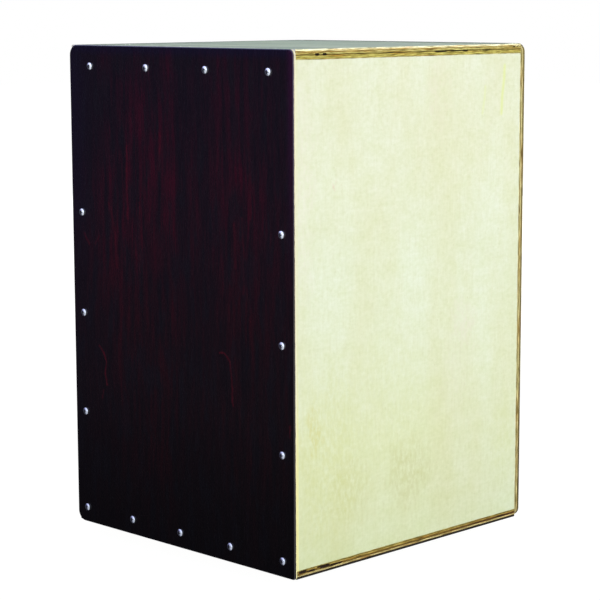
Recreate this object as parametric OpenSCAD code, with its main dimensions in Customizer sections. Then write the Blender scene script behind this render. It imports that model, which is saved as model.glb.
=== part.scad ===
// Box drum (cajon) with a stained playing plate, a plywood body and an adjustable snare inside.
// Frame: origin on the floor under the middle of the box. +Z up, the playing plate faces -Y,
// +X is the right-hand side of someone who looks at the playing plate. Millimetres.

/* [Body] */
// Outside width of the box, left to right
body_w = 306; // [296:1:330]
// Outside depth of the box, playing plate to back
body_d = 317; // [300:1:340]
// Height of the box without its feet
body_h = 470; // [450:1:490]
// Radius of the rounded corners of the back panel
corner_r = 8.5; // [4:0.5:9]
// Radius of the two left corners of the playing plate, which is shaped by hand
plate_left_r = 10; // [4:0.5:11]
// Radius of its upper right corner
plate_upper_r = 5.5; // [3:0.5:11]
// Radius of its lower right corner
plate_lower_r = 3; // [2:0.5:11]
// Radius of the four long edges of the seat and base panels
edge_r = 1.2; // [0.5:0.1:2.5]
// Thickness of the two side panels
side_t = 9.5; // [8:0.5:11]
// Thickness of the seat panel
seat_t = 9.5; // [8:0.5:12]
// Thickness of the base panel
base_t = 8; // [7:0.5:12]
// Thickness of the back panel
back_t = 7; // [4:0.5:9]

/* [Playing plate] */
// Thickness of the playing plate
tapa_t = 3; // [2.5:0.1:3.5]
// Distance between the screws of the top row
top_pitch = 81.5; // [70:0.5:84]
// Distance between the screws of the bottom row
bottom_pitch = 69; // [60:1:69]
// Inset of the top row from the top edge
top_inset = 20; // [17:1:22]
// Inset of the bottom row from the bottom edge
bottom_inset = 15; // [14:1:20]
// Inset of the side rows from the side edges
side_inset = 15; // [14:1:20]
// Height of the lowest screw of a side row above the bottom edge
side_first = 112; // [90:1:125]
// Distance between the screws of a side row
side_pitch = 98.5; // [80:0.5:100]

/* [Screws] */
// Head diameter of the pan head wood screws
head_d = 7; // [6:0.1:7.5]
// Head height of the pan head wood screws
head_h = 2.2; // [1.8:0.1:2.5]
// Shank diameter of the wood screws
shank_d = 3.5; // [3:0.1:4]
// Length of the playing plate's screws under the head
tapa_screw_l = 17; // [14:1:19]

/* [Inner battens] */
// Depth of the front battens, front to back
front_batten_d = 20; // [18:1:26]
// Face width of the front battens
front_batten_w = 20; // [18:1:24]
// Side of the square rear battens
rear_batten = 12; // [10:1:16]

/* [Sound hole] */
// Diameter of the sound hole in the back panel
hole_d = 120; // [100:1:130]
// Height of the sound hole's centre above the bottom edge of the box
hole_h = 235; // [190:1:280]

/* [Snare] */
// Diameter of the round snare bar
bar_d = 20; // [18:1:22]
// Height of the bar's axis below the top of the seat
bar_drop = 130; // [130:1:160]
// Distance from the back of the playing plate to the bar's axis
bar_back = 39.5; // [38:0.5:44]
// Length of a snare wire past the foot of its fan
wire_l = 95; // [85:1:96]
// Outside diameter of a coiled snare wire
wire_d = 1.6; // [1.2:0.1:1.8]
// Number of wires in one fan
wire_n = 12; // [8:1:12]
// Distance between neighbouring wires
wire_pitch = 4; // [3:0.5:4]
// Distance of each fan's middle from the middle of the box
fan_x = 62; // [50:1:75]
// Gap between the wire tips and the playing plate at rest
tip_gap = 0.3; // [0.1:0.1:1]
// Radial running clearance of the bar in its blocks
run_gap = 0.05; // [0.02:0.01:0.1]

/* [Feet] */
// Height of a rubber foot
foot_h = 10; // [8:1:16]
// Top diameter of a rubber foot
foot_d = 25; // [22:1:35]
// Inset of a foot's centre from the outside of the box
foot_inset = 45; // [35:1:60]

/* [Hidden] */
$fn = 64;
eps = 1;             // overshoot of a cut past the face it opens
hole_gap = 0.05;     // radial gap round a fixed part in its hole
pilot_extra = 0.5;   // depth of a blind screw hole past the screw's tip
left = -1;           // signs of X on the two sides
right = 1;
sides = [left, right];

side_color = [0.92, 0.93, 0.80];
batten_color = [0.85, 0.75, 0.55];
rubber_color = [0.10, 0.10, 0.11];
block_color = [0.72, 0.60, 0.42];
screw_color = [0.78, 0.79, 0.82];
fitting_color = [0.70, 0.71, 0.73];
plate_color = [0.75, 0.76, 0.78];
wire_color = [0.80, 0.80, 0.80];

y_face = -body_d / 2;                  // front face of the playing plate
y_front = y_face + tapa_t;             // back of the playing plate, front of the box
y_back = body_d / 2;                   // outside of the back panel
y_rear = y_back - back_t;              // rear edges of the panels
y_batten = y_front + front_batten_d;   // back faces of the front battens
x_out = body_w / 2;
x_in = x_out - side_t;                 // inner faces of the side panels
z_bot = foot_h;                        // underside of the base panel
z_floor = z_bot + base_t;              // inside floor
z_top = z_bot + body_h;                // top of the seat
z_ceil = z_top - seat_t;               // inside ceiling

// ---- helpers ---------------------------------------------------------------------------------

// A box from its [from, to] range on each axis.
module box(x, y, z) translate([x[0], y[0], z[0]]) cube([x[1] - x[0], y[1] - y[0], z[1] - z[0]]);

// A box on one side of the drum. x is its range of distances from the middle.
module side_box(side, x, y, z) box(side > 0 ? x : [-x[1], -x[0]], y, z);

// A cylinder that starts at a point and runs along +Y or +X.
module along_y(start, r, l) translate(start) rotate([-90, 0, 0]) cylinder(r = r, h = l);
module along_x(start, r, l) translate(start) rotate([0, 90, 0]) cylinder(r = r, h = l);

// Rounded outline of the box seen from the front, between two Y planes.
// radii: lower left, lower right, upper right, upper left
module outline_slab(y0, y1, radii) {
  corners = [[-1, -1], [1, -1], [1, 1], [-1, 1]];
  translate([0, y1, z_bot + body_h / 2]) rotate([90, 0, 0]) linear_extrude(y1 - y0)
    union() {
      difference() {
        translate([-x_out, -body_h / 2]) square([body_w, body_h]);
        for (i = [0:3])
          translate([corners[i][0] * x_out, corners[i][1] * body_h / 2])
            square(2 * radii[i], center = true);
      }
      for (i = [0:3])
        translate([corners[i][0] * (x_out - radii[i]), corners[i][1] * (body_h / 2 - radii[i])])
          circle(r = radii[i]);
    }
}

// Pan head screw, by default a wood screw. Its head rests on z = 0 and its shank points down -Z.
module pan_screw(length, head = head_d, height = head_h, shank = shank_d) {
  rim = height * 0.45;                 // height of the head's cylindrical rim
  dome = height - rim;
  dome_r = (pow(head / 2, 2) + pow(dome, 2)) / (2 * dome);
  slot_l = head * 0.56;                // the cross recess
  slot_w = head * 0.13;
  slot_depth = 1.1;
  difference() {
    intersection() {
      cylinder(d = head, h = height);
      translate([0, 0, height - dome_r]) sphere(r = dome_r);
    }
    for (a = [0, 90]) rotate([0, 0, a])
      translate([-slot_l / 2, -slot_w / 2, height - slot_depth]) cube([slot_l, slot_w, 2]);
  }
  // shank, run slightly into the head, and its tapered point, as long as the shank is thick
  translate([0, 0, shank - length]) cylinder(d = shank, h = length - shank + 0.1);
  translate([0, 0, -length]) cylinder(d1 = shank * 0.2, d2 = shank, h = shank);
}

// ---- screws of the playing plate -------------------------------------------------------------

// Screw places, as [x, z]
top_screws = [for (i = [0:3]) [(i - 1.5) * top_pitch, z_top - top_inset]];
bottom_screws = [for (i = [0:4]) [(i - 2) * bottom_pitch, z_bot + bottom_inset]];
function side_screws(side) =
  [for (i = [0:2]) [side * (x_out - side_inset), z_bot + side_first + i * side_pitch]];

tapa_hole_gap = 0.25;                  // radial gap round a screw in the playing plate

module front_holes(places, r, y0, y1)
  for (p = places) along_y([p[0], y0, p[1]], r, y1 - y0);

// Blind holes in a front batten.
module front_pilots(places)
  front_holes(places, shank_d / 2 + hole_gap, y_front - eps, y_face + tapa_screw_l + pilot_extra);

module tapa_screws(places)
  for (p = places) translate([p[0], y_face, p[1]]) rotate([90, 0, 0]) pan_screw(tapa_screw_l);

module tapa_screws_top() color(screw_color) tapa_screws(top_screws);
module tapa_screws_bottom() color(screw_color) tapa_screws(bottom_screws);
module tapa_screws_left() color(screw_color) tapa_screws(side_screws(left));
module tapa_screws_right() color(screw_color) tapa_screws(side_screws(right));

// ---- feet ------------------------------------------------------------------------------------

// Foot centres, as [x, y]: front left, front right, rear left, rear right
feet = [for (y = sides, x = sides) [x * (x_out - foot_inset), y * (body_d / 2 - foot_inset)]];
foot_bore_r = 2.2;
foot_recess_r = 6;                     // recess in the underside for the screw head and washer
foot_recess_h = foot_h / 2;
washer_t = 1;
foot_screw_d = 4;
foot_screw_grip = 6.5;                 // length of a foot screw inside the base panel
z_washer = foot_recess_h - washer_t;   // underside of the washers

module foot(place) translate([place[0], place[1], 0]) rotate_extrude() polygon([
  [foot_recess_r, 0],
  [foot_d / 2 - 2.5, 0],
  [foot_d / 2 - 1.5, 1],
  [foot_d / 2, foot_h],
  [foot_bore_r, foot_h],
  [foot_bore_r, foot_recess_h],
  [foot_recess_r, foot_recess_h]
]);
module foot_front_left() color(rubber_color) foot(feet[0]);
module foot_front_right() color(rubber_color) foot(feet[1]);
module foot_rear_left() color(rubber_color) foot(feet[2]);
module foot_rear_right() color(rubber_color) foot(feet[3]);

module foot_washers() color(fitting_color) for (p = feet) translate([p[0], p[1], z_washer])
  difference() {
    cylinder(d = 11, h = washer_t);
    translate([0, 0, -eps]) cylinder(d = 4.3, h = washer_t + 2 * eps);
  }

module foot_screws() color(fitting_color) for (p = feet) translate([p[0], p[1], z_washer])
  rotate([180, 0, 0])
    pan_screw(foot_h - z_washer + foot_screw_grip, head = 7.6, height = 2.4, shank = foot_screw_d);

// ---- snare layout ----------------------------------------------------------------------------

// The fans lean forward from the bar until their tips nearly touch the playing plate.
bar_y = y_front + bar_back;
bar_z = z_top - bar_drop;
flat_offset = bar_d / 2 - 2;           // distance of the milled flats from the bar's axis
plate_t = 1;
plate_w = 2 * floor(sqrt(pow(bar_d / 2, 2) - pow(flat_offset, 2)));
wire_gap = 0.05;                       // gap between the wires and the folded plate
wire_offset = flat_offset + plate_t + wire_gap + wire_d / 2; // wires' axes from the bar's axis
wire_reach = bar_back - tip_gap - wire_d / 2;
lean = asin(wire_reach / sqrt(pow(wire_l, 2) + pow(wire_offset, 2))) - atan2(wire_offset, wire_l);
fan_half = (wire_n - 1) * wire_pitch / 2;
plate_half = fan_half + 8;
fold_half = fan_half + 1.5;            // half width of the plate's folded part
plate_screw_x = fan_half + 5;          // plate screws from the middle of the fan
plate_screw_d = 2.5;
plate_screw_l = 10;

block_t = 22;                          // thickness of a snare block, side to side
block_h = 48;
block_rear = bar_y + 26;               // back faces of the blocks
block_face = x_in - block_t;           // inner faces of the blocks, from the middle
block_screw_z = [bar_z - 16.5, bar_z + 16.5];
block_screw_grip = 5.5;                // length of a block screw inside the side panel
bar_seat = 14;                         // depth of the bar's blind bore in each block
bar_half = block_face + bar_seat - 0.5;

bolt_x = block_face + 7;
bolt_d = 5;
insert_l = 12;
insert_d = 8;
insert_y = block_rear - insert_l;      // front end of the threaded insert
pad_d = 6.8;                           // nylon pad between the bolt's tip and the bar
pad_t = 3;
pad_y = bar_y + bar_d / 2 + 0.15;      // front of the pad, just clear of the bar

// A bore along X at the bar's depth, between two distances from the middle.
module side_bore(side, x0, x1, z, r)
  along_x([side > 0 ? x0 : -x1, bar_y, z], r, x1 - x0);

// ---- panels ----------------------------------------------------------------------------------

module tapa() color([0.11, 0.06, 0.09]) difference() {
  outline_slab(y_face, y_front, [plate_left_r, plate_lower_r, plate_upper_r, plate_left_r]);
  front_holes(concat(top_screws, bottom_screws, side_screws(left), side_screws(right)),
    shank_d / 2 + tapa_hole_gap, y_face - eps, y_front + eps);
}

module side_panel(side) difference() {
  side_box(side, [x_in, x_out], [y_front, y_rear], [z_floor, z_ceil]);
  // pilot holes for the two screws of the snare block
  for (z = block_screw_z)
    side_bore(side, x_in - eps, x_in + block_screw_grip + pilot_extra, z, shank_d / 2 + hole_gap);
}
module side_panel_left() color(side_color) side_panel(left);
module side_panel_right() color(side_color) side_panel(right);

// The part of the round-edged box between two heights.
module level_panel(z0, z1) intersection() {
  outline_slab(y_front, y_rear, [for (i = [0:3]) edge_r]);
  box([-x_out - eps, x_out + eps], [y_front - eps, y_rear + eps], [z0, z1]);
}

module seat_panel() color([0.93, 0.90, 0.74]) level_panel(z_ceil, z_top + eps);

module base_panel() color([0.80, 0.72, 0.52]) difference() {
  level_panel(z_bot - eps, z_floor);
  for (p = feet) translate([p[0], p[1], z_bot - eps])
    cylinder(d = foot_screw_d + 2 * hole_gap, h = foot_screw_grip + pilot_extra + eps);
}

module back_panel() color([0.78, 0.70, 0.50]) difference() {
  outline_slab(y_rear, y_back, [for (i = [0:3]) corner_r]);
  along_y([0, y_rear - eps, z_bot + hole_h], hole_d / 2, back_t + 2 * eps);
}

// ---- inner battens ---------------------------------------------------------------------------

front_stile_w = front_batten_w - 2;    // the front stiles are narrower than the rails

module front_rail(z0, screws) difference() {
  box([-x_in, x_in], [y_front, y_batten], [z0, z0 + front_batten_w]);
  front_pilots(screws);
}
module front_rail_top() color(batten_color) front_rail(z_ceil - front_batten_w, top_screws);
module front_rail_bottom() color(batten_color) front_rail(z_floor, bottom_screws);

module front_stile(side) difference() {
  side_box(side, [x_in - front_stile_w, x_in], [y_front, y_batten],
    [z_floor + front_batten_w, z_ceil - front_batten_w]);
  front_pilots(side_screws(side));
}
module front_stile_left() color(batten_color) front_stile(left);
module front_stile_right() color(batten_color) front_stile(right);

module rear_rail(z0)
  box([-x_in, x_in], [y_rear - rear_batten, y_rear], [z0, z0 + rear_batten]);
module rear_rail_top() color(batten_color) rear_rail(z_ceil - rear_batten);
module rear_rail_bottom() color(batten_color) rear_rail(z_floor);

module rear_stile(side)
  side_box(side, [x_in - rear_batten, x_in], [y_rear - rear_batten, y_rear],
    [z_floor + rear_batten, z_ceil - rear_batten]);
module rear_stile_left() color(batten_color) rear_stile(left);
module rear_stile_right() color(batten_color) rear_stile(right);

// ---- snare blocks ----------------------------------------------------------------------------

module snare_block(side) difference() {
  side_box(side, [block_face, x_in], [y_batten, block_rear],
    [bar_z - block_h / 2, bar_z + block_h / 2]);
  // blind bore for the end of the bar
  side_bore(side, block_face - eps, block_face + bar_seat, bar_z, bar_d / 2 + run_gap);
  for (z = block_screw_z)
    side_bore(side, block_face - eps, x_in + eps, z, shank_d / 2 + hole_gap);
  // the right block also takes the pad and the threaded insert
  if (side == right) {
    along_y([bolt_x, bar_y, bar_z], pad_d / 2 + 0.1, block_rear - bar_y - 1);
    along_y([bolt_x, insert_y, bar_z], insert_d / 2 + hole_gap, insert_l + eps);
  }
}
module snare_block_left() color(block_color) snare_block(left);
module snare_block_right() color(block_color) snare_block(right);

module snare_block_screws() color(fitting_color) for (side = sides, z = block_screw_z)
  translate([side * block_face, bar_y, z]) rotate([0, -90 * side, 0])
    pan_screw(block_t + block_screw_grip);

// ---- snare bar and fans ----------------------------------------------------------------------

// The bar's own frame: its axis at the origin, the fans' wires along +Z and their plates on -Y.
module bar_frame() translate([0, bar_y, bar_z]) rotate([lean, 0, 0]) children();

module snare_bar() color([0.80, 0.64, 0.42]) bar_frame() difference() {
  along_x([-bar_half, 0, 0], bar_d / 2, 2 * bar_half);
  for (side = sides) {
    side_box(side, [fan_x - plate_half - 0.5, fan_x + plate_half + 0.5],
      [-bar_d, -flat_offset], [-bar_d, bar_d]);
    for (end = sides)
      along_y([side * fan_x + end * plate_screw_x, -flat_offset - eps, 0],
        plate_screw_d / 2 + hole_gap, plate_screw_l - plate_t + pilot_extra + eps);
  }
}

// Steel strip folded over the ends of the wires, screwed to a flat of the bar.
module snare_plate(side) bar_frame() translate([side * fan_x, 0, 0]) {
  lip_inner = wire_offset + wire_d / 2 + wire_gap;
  lip_outer = lip_inner + 0.8;
  z_edge = -plate_w / 2;               // folded lower edge
  fold = [-fold_half, fold_half];
  difference() {
    union() {
      box([-plate_half, plate_half], [-flat_offset - plate_t, -flat_offset], [z_edge, -z_edge]);
      box(fold, [-lip_outer, -flat_offset], [z_edge, z_edge + plate_t]);
      box(fold, [-lip_outer, -lip_inner], [z_edge, 0]);
    }
    for (end = sides)
      along_y([end * plate_screw_x, -flat_offset - plate_t - eps, 0], 1.4, plate_t + 2 * eps);
  }
}
module snare_plate_left() color(plate_color) snare_plate(left);
module snare_plate_right() color(plate_color) snare_plate(right);

module snare_plate_screws() color(plate_color) bar_frame() for (side = sides, end = sides)
  translate([side * fan_x + end * plate_screw_x, -flat_offset - plate_t, 0]) rotate([90, 0, 0])
    pan_screw(plate_screw_l, head = 5, height = 1.6, shank = plate_screw_d);

module snare_wires(side) {
  z_foot = -plate_w / 2 + plate_t + 0.1; // just above the fold of the plate
  bar_frame() for (i = [0:wire_n - 1])
    translate([side * fan_x - fan_half + i * wire_pitch, -wire_offset, z_foot])
      cylinder(d = wire_d, h = wire_l - z_foot, $fn = 24);
}
module snare_wires_left() color(wire_color) snare_wires(left);
module snare_wires_right() color(wire_color) snare_wires(right);

// ---- bar lock --------------------------------------------------------------------------------

// Wing bolt that clamps the bar's right end through a pad. It turns about its own axis, along Y,
// and its thread, 0.8 mm a turn, moves it and the pad along Y.
module lock_bolt() color(fitting_color) {
  tip = pad_y + pad_t + 0.05;
  wing_half = 12.5;
  wing_t = 2.5;
  along_y([bolt_x, tip, bar_z], bolt_d / 2, block_rear + 2 - tip);
  along_y([bolt_x, block_rear + 0.3, bar_z], 5, 5); // hub
  difference() {
    box([bolt_x - wing_half, bolt_x + wing_half], [block_rear + 2.5, block_rear + 14],
      [bar_z - wing_t / 2, bar_z + wing_t / 2]);
    // the scoop between the wings
    translate([bolt_x, block_rear + 17, bar_z - 5]) cylinder(r = 8, h = 10);
  }
}

module lock_pad() color([0.93, 0.93, 0.90]) along_y([bolt_x, pad_y, bar_z], pad_d / 2, pad_t);

module lock_insert() color([0.80, 0.66, 0.30]) difference() {
  along_y([bolt_x, insert_y, bar_z], insert_d / 2, insert_l);
  along_y([bolt_x, insert_y - eps, bar_z], bolt_d / 2 + run_gap, insert_l + 2 * eps);
}

// ---- which sub-part is drawn -----------------------------------------------------------------

tapa();
side_panel_left();
side_panel_right();
seat_panel();
base_panel();
back_panel();
front_rail_top();
front_rail_bottom();
front_stile_left();
front_stile_right();
rear_rail_top();
rear_rail_bottom();
rear_stile_left();
rear_stile_right();
tapa_screws_top();
tapa_screws_left();
tapa_screws_right();
tapa_screws_bottom();
foot_front_left();
foot_front_right();
foot_rear_left();
foot_rear_right();
foot_washers();
foot_screws();
snare_block_left();
snare_block_right();
snare_block_screws();
snare_bar();
snare_plate_left();
snare_plate_right();
snare_wires_left();
snare_wires_right();
snare_plate_screws();
lock_bolt();
lock_pad();
lock_insert();
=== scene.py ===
"""A full-size cajon: a birch plywood box with a stained playing plate (tapa), feet and snares.

Meshes are worked out in millimetres and scaled to metres when they are made. The origin is on the
floor under the middle of the box, +Z is up, +X is right and the tapa faces the front, -Y.
"""

import math

import bmesh
import bpy
import numpy as np
from mathutils import Matrix, Vector, geometry


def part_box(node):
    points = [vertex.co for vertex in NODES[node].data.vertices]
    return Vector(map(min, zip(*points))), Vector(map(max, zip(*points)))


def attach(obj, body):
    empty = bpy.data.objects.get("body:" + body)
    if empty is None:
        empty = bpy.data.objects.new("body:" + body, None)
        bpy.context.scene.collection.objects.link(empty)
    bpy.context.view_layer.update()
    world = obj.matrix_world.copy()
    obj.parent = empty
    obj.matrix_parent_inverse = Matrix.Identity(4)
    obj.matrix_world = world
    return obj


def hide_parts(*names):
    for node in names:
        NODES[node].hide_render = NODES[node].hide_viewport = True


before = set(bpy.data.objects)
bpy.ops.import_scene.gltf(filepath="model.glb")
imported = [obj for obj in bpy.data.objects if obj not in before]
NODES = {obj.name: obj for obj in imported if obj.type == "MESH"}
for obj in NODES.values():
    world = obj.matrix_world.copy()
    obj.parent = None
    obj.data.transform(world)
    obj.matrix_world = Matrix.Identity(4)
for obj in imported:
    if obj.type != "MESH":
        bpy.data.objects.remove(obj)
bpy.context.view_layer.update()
MM = 0.001

# The box, in mm
BASE_UNDER, BASE_TOP = 10.0, 18.0
SEAT_UNDER, SEAT_TOP = 470.5, 480.0
BACK_FRONT, BACK_REAR = 151.5, 158.5
TAPA_FRONT, TAPA_THICK = -158.5, 3.0
SIDE_INNER = 143.5  # x of the inner face of a side panel
HOLE_HEIGHT, HOLE_RADIUS = 245.0, 60.0  # sound hole in the back panel
LONG_EDGE_RADIUS = 1.2  # rounding of the long edges of seat and base
PANEL_EASE = 0.22  # eased edges, so that glued joints read as fine lines


# ---------------------------------------------------------------- reading the CAD


def mm_box(node):
    low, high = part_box(node)
    return np.array(low) * 1000.0, np.array(high) * 1000.0


def islands(node):
    """(lowest, highest) corner in mm of each separate solid in a CAD node, sorted by place."""
    mesh = NODES[node].data
    points = np.zeros(len(mesh.vertices) * 3, np.float32)
    mesh.vertices.foreach_get("co", points)
    points = points.reshape(-1, 3)
    seen = {}
    same = [seen.setdefault(tuple(np.round(p * 1e5).astype(int)), i) for i, p in enumerate(points)]
    parent = list(range(len(points)))

    def root(i):
        while parent[i] != i:
            parent[i] = parent[parent[i]]
            i = parent[i]
        return i

    for polygon in mesh.polygons:
        corners = [same[v] for v in polygon.vertices]
        for corner in corners[1:]:
            one, other = root(corners[0]), root(corner)
            if one != other:
                parent[other] = one
    groups = {}
    for i in range(len(points)):
        groups.setdefault(root(same[i]), []).append(i)
    boxes = [(points[g].min(0) * 1000.0, points[g].max(0) * 1000.0) for g in groups.values()]
    return sorted(boxes, key=lambda box: tuple(np.round(box[0], 1)))


# ---------------------------------------------------------------- mesh helpers


def make(name, points, faces, materials, which=None, smooth=True, angle=None, sunk=None):
    """A mesh object from points in mm.

    which gives each face's material, smooth is one flag or one per face, angle (degrees) marks
    sharp edges and sunk is how deep each point is sunk at glue lines and voids, kept for the
    materials.
    """
    mesh = bpy.data.meshes.new(name)
    places = (np.asarray(points, float) * MM).tolist()
    mesh.from_pydata(places, [], [list(map(int, face)) for face in faces])
    for material in materials:
        mesh.materials.append(material)
    if which is not None:
        mesh.polygons.foreach_set("material_index", np.asarray(which, np.int32))
    flags = np.empty(len(mesh.polygons), bool)
    flags[:] = smooth
    mesh.polygons.foreach_set("use_smooth", flags)
    if sunk is not None:
        attribute = mesh.attributes.new("sunk", "FLOAT", "POINT")
        attribute.data.foreach_set("value", np.asarray(sunk, np.float32))
    mesh.validate()
    mesh.update()
    if angle is not None:
        mesh.set_sharp_from_angle(angle=math.radians(angle))
    piece = bpy.data.objects.new(name, mesh)
    bpy.context.scene.collection.objects.link(piece)
    return piece


def outward(piece):
    """Turns every face of a closed mesh to face out."""
    work = bmesh.new()
    work.from_mesh(piece.data)
    bmesh.ops.recalc_face_normals(work, faces=work.faces)
    work.to_mesh(piece.data)
    work.free()
    piece.data.update()
    return piece


def place(piece, slot, *nodes, body="cajon_body"):
    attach(piece, body)
    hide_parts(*nodes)


class Soup:
    """Collects meshes into one."""

    def __init__(self):
        self.points, self.faces, self.which = [], [], []
        self.count = 0

    def add(self, points, faces, which=0):
        """which is one material index, or a list with one per face."""
        points = np.asarray(points, float)
        self.points.append(points)
        self.faces += [[k + self.count for k in face] for face in faces]
        self.which += [which] * len(faces) if np.isscalar(which) else which
        self.count += len(points)

    def make(self, name, materials, angle):
        return make(name, np.vstack(self.points), self.faces, materials, self.which, angle=angle)


def walls(rows, count, wrap=False):
    """Quads between rows of count points each; wrap also joins the last row to the first."""
    faces = []
    for i in range(rows if wrap else rows - 1):
        j = (i + 1) % rows
        for k in range(count):
            n = (k + 1) % count
            faces.append((i * count + k, i * count + n, j * count + n, j * count + k))
    return faces


def flip(quads):
    """The same quads wound the other way, each from the same first corner."""
    return [(a, d, c, b) for a, b, c, d in quads]


def tube(rows, count):
    """Walls with a cap on each end."""
    first = list(range(count))[::-1]
    return walls(rows, count) + [first, list(range((rows - 1) * count, rows * count))]


def lathe(profile, segments):
    """A solid of revolution round z from (radius, height) points that start and end on the axis."""
    points, faces, rows = [], [], []
    for radius, height in profile:
        if radius < 1e-9:
            rows.append([len(points)] * segments)
            points.append((0.0, 0.0, height))
        else:
            rows.append(list(range(len(points), len(points) + segments)))
            points += turn_round(radius, height, segments)
    for row, above in zip(rows, rows[1:]):
        for k in range(segments):
            n = (k + 1) % segments
            quad = list(dict.fromkeys([row[k], row[n], above[n], above[k]]))
            if len(quad) > 2:
                faces.append(quad)
    return np.array(points), faces


def turn_round(radius, height, segments, centre=(0.0, 0.0)):
    """A level circle of points."""
    angles = [2 * math.pi * k / segments for k in range(segments)]
    return [
        (centre[0] + radius * math.cos(a), centre[1] + radius * math.sin(a), height)
        for a in angles
    ]


def turned_ring(section, centre, segments):
    """A ring-shaped solid: a closed section of (radius, height) points turned round centre."""
    points = []
    for radius, height in section:
        points += turn_round(radius, height, segments, centre)
    return points, walls(len(section), segments, wrap=True)


def random_curve(seed, length, step):
    """A smooth random curve over 0..length, about -1..1, as a function of place."""
    rng = np.random.default_rng(seed)
    count = int(length / step) + 4
    values = rng.uniform(-1, 1, count)

    def at(where):
        x = np.asarray(where, float) / step + 1
        i = np.clip(np.floor(x).astype(int), 1, count - 3)
        blend = np.clip(x - i, 0, 1)
        blend = blend * blend * (3 - 2 * blend)
        return values[i] * (1 - blend) + values[i + 1] * blend

    return at


# ---------------------------------------------------------------- shader helpers


class Value:
    """A shader socket. Each of + - * ** and abs makes one Math node."""

    def __init__(self, graph, socket):
        self.graph, self.socket = graph, socket

    def __add__(self, other):
        return self.graph.math("ADD", self, other)

    def __radd__(self, other):
        return self.graph.math("ADD", other, self)

    def __sub__(self, other):
        return self.graph.math("SUBTRACT", self, other)

    def __rsub__(self, other):
        return self.graph.math("SUBTRACT", other, self)

    def __mul__(self, other):
        return self.graph.math("MULTIPLY", self, other)

    def __pow__(self, power):
        return self.graph.math("POWER", self, power)

    def __abs__(self):
        return self.graph.math("ABSOLUTE", self)

    def sqrt(self):
        return self.graph.math("SQRT", self)

    def ease(self, start, end, low=0.0, high=1.0):
        """Goes smoothly from low, where this value is start, to high, where it is end."""
        return self.graph.map_range("SMOOTHSTEP", self, start, end, low, high)

    def line(self, start, end, low=0.0, high=1.0):
        """The same as ease in a straight line."""
        return self.graph.map_range("LINEAR", self, start, end, low, high)


class Graph:
    """A node tree with short calls for its nodes. Inputs may be Values or plain values."""

    def __init__(self, tree, output):
        self.tree = tree
        tree.nodes.clear()
        self.out = tree.nodes.new("ShaderNodeOutput" + output)

    def plug(self, value, socket):
        if isinstance(value, Value):
            self.tree.links.new(value.socket, socket)
        elif value is not None:
            if socket.type == "RGBA" and len(value) == 3:
                value = (*value, 1.0)
            socket.default_value = value

    def node(self, kind, inputs=None, output=0, **settings):
        """A new node's output as a Value; a tuple of outputs gives a list."""
        node = self.tree.nodes.new("ShaderNode" + kind)
        for key, value in settings.items():
            setattr(node, key, value)
        for key, value in (inputs or {}).items():
            self.plug(value, node.inputs[key])
        if isinstance(output, tuple):
            return [Value(self, node.outputs[key]) for key in output]
        return Value(self, node.outputs[output])

    def finish(self, shader):
        self.plug(shader, self.out.inputs[0])

    def math(self, operation, a, b=None, clamp=False):
        return self.node("Math", {0: a, 1: b} if b is not None else {0: a},
                         operation=operation, use_clamp=clamp)

    def map_range(self, kind, *numbers):
        return self.node("MapRange", dict(enumerate(numbers)), interpolation_type=kind, clamp=True)

    def vec(self, x, y, z):
        return self.node("CombineXYZ", {0: x, 1: y, 2: z})

    def ramp(self, factor, stops, interpolation="LINEAR"):
        """Colour ramp from (position, colour or grey) stops."""
        factor_out = self.node("ValToRGB", {0: factor})
        ramp = factor_out.socket.node.color_ramp
        ramp.interpolation = interpolation
        while len(ramp.elements) > 1:
            ramp.elements.remove(ramp.elements[-1])
        for i, (position, colour) in enumerate(stops):
            element = ramp.elements[0] if i == 0 else ramp.elements.new(position)
            element.position = position
            colour = (colour,) * 3 if np.isscalar(colour) else colour
            element.color = (*colour, 1.0)
        return factor_out

    def mix(self, amount, colour, other, mode="MIX"):
        inputs = {0: amount, 6: colour, 7: other}
        return self.node("Mix", inputs, output=2, data_type="RGBA", blend_type=mode)

    def tint(self, colour, by, amount=None):
        """colour multiplied by another, fully or by some amount."""
        tinted = self.mix(1.0, colour, by, "MULTIPLY")
        return tinted if amount is None else self.mix(amount, colour, tinted)


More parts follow.
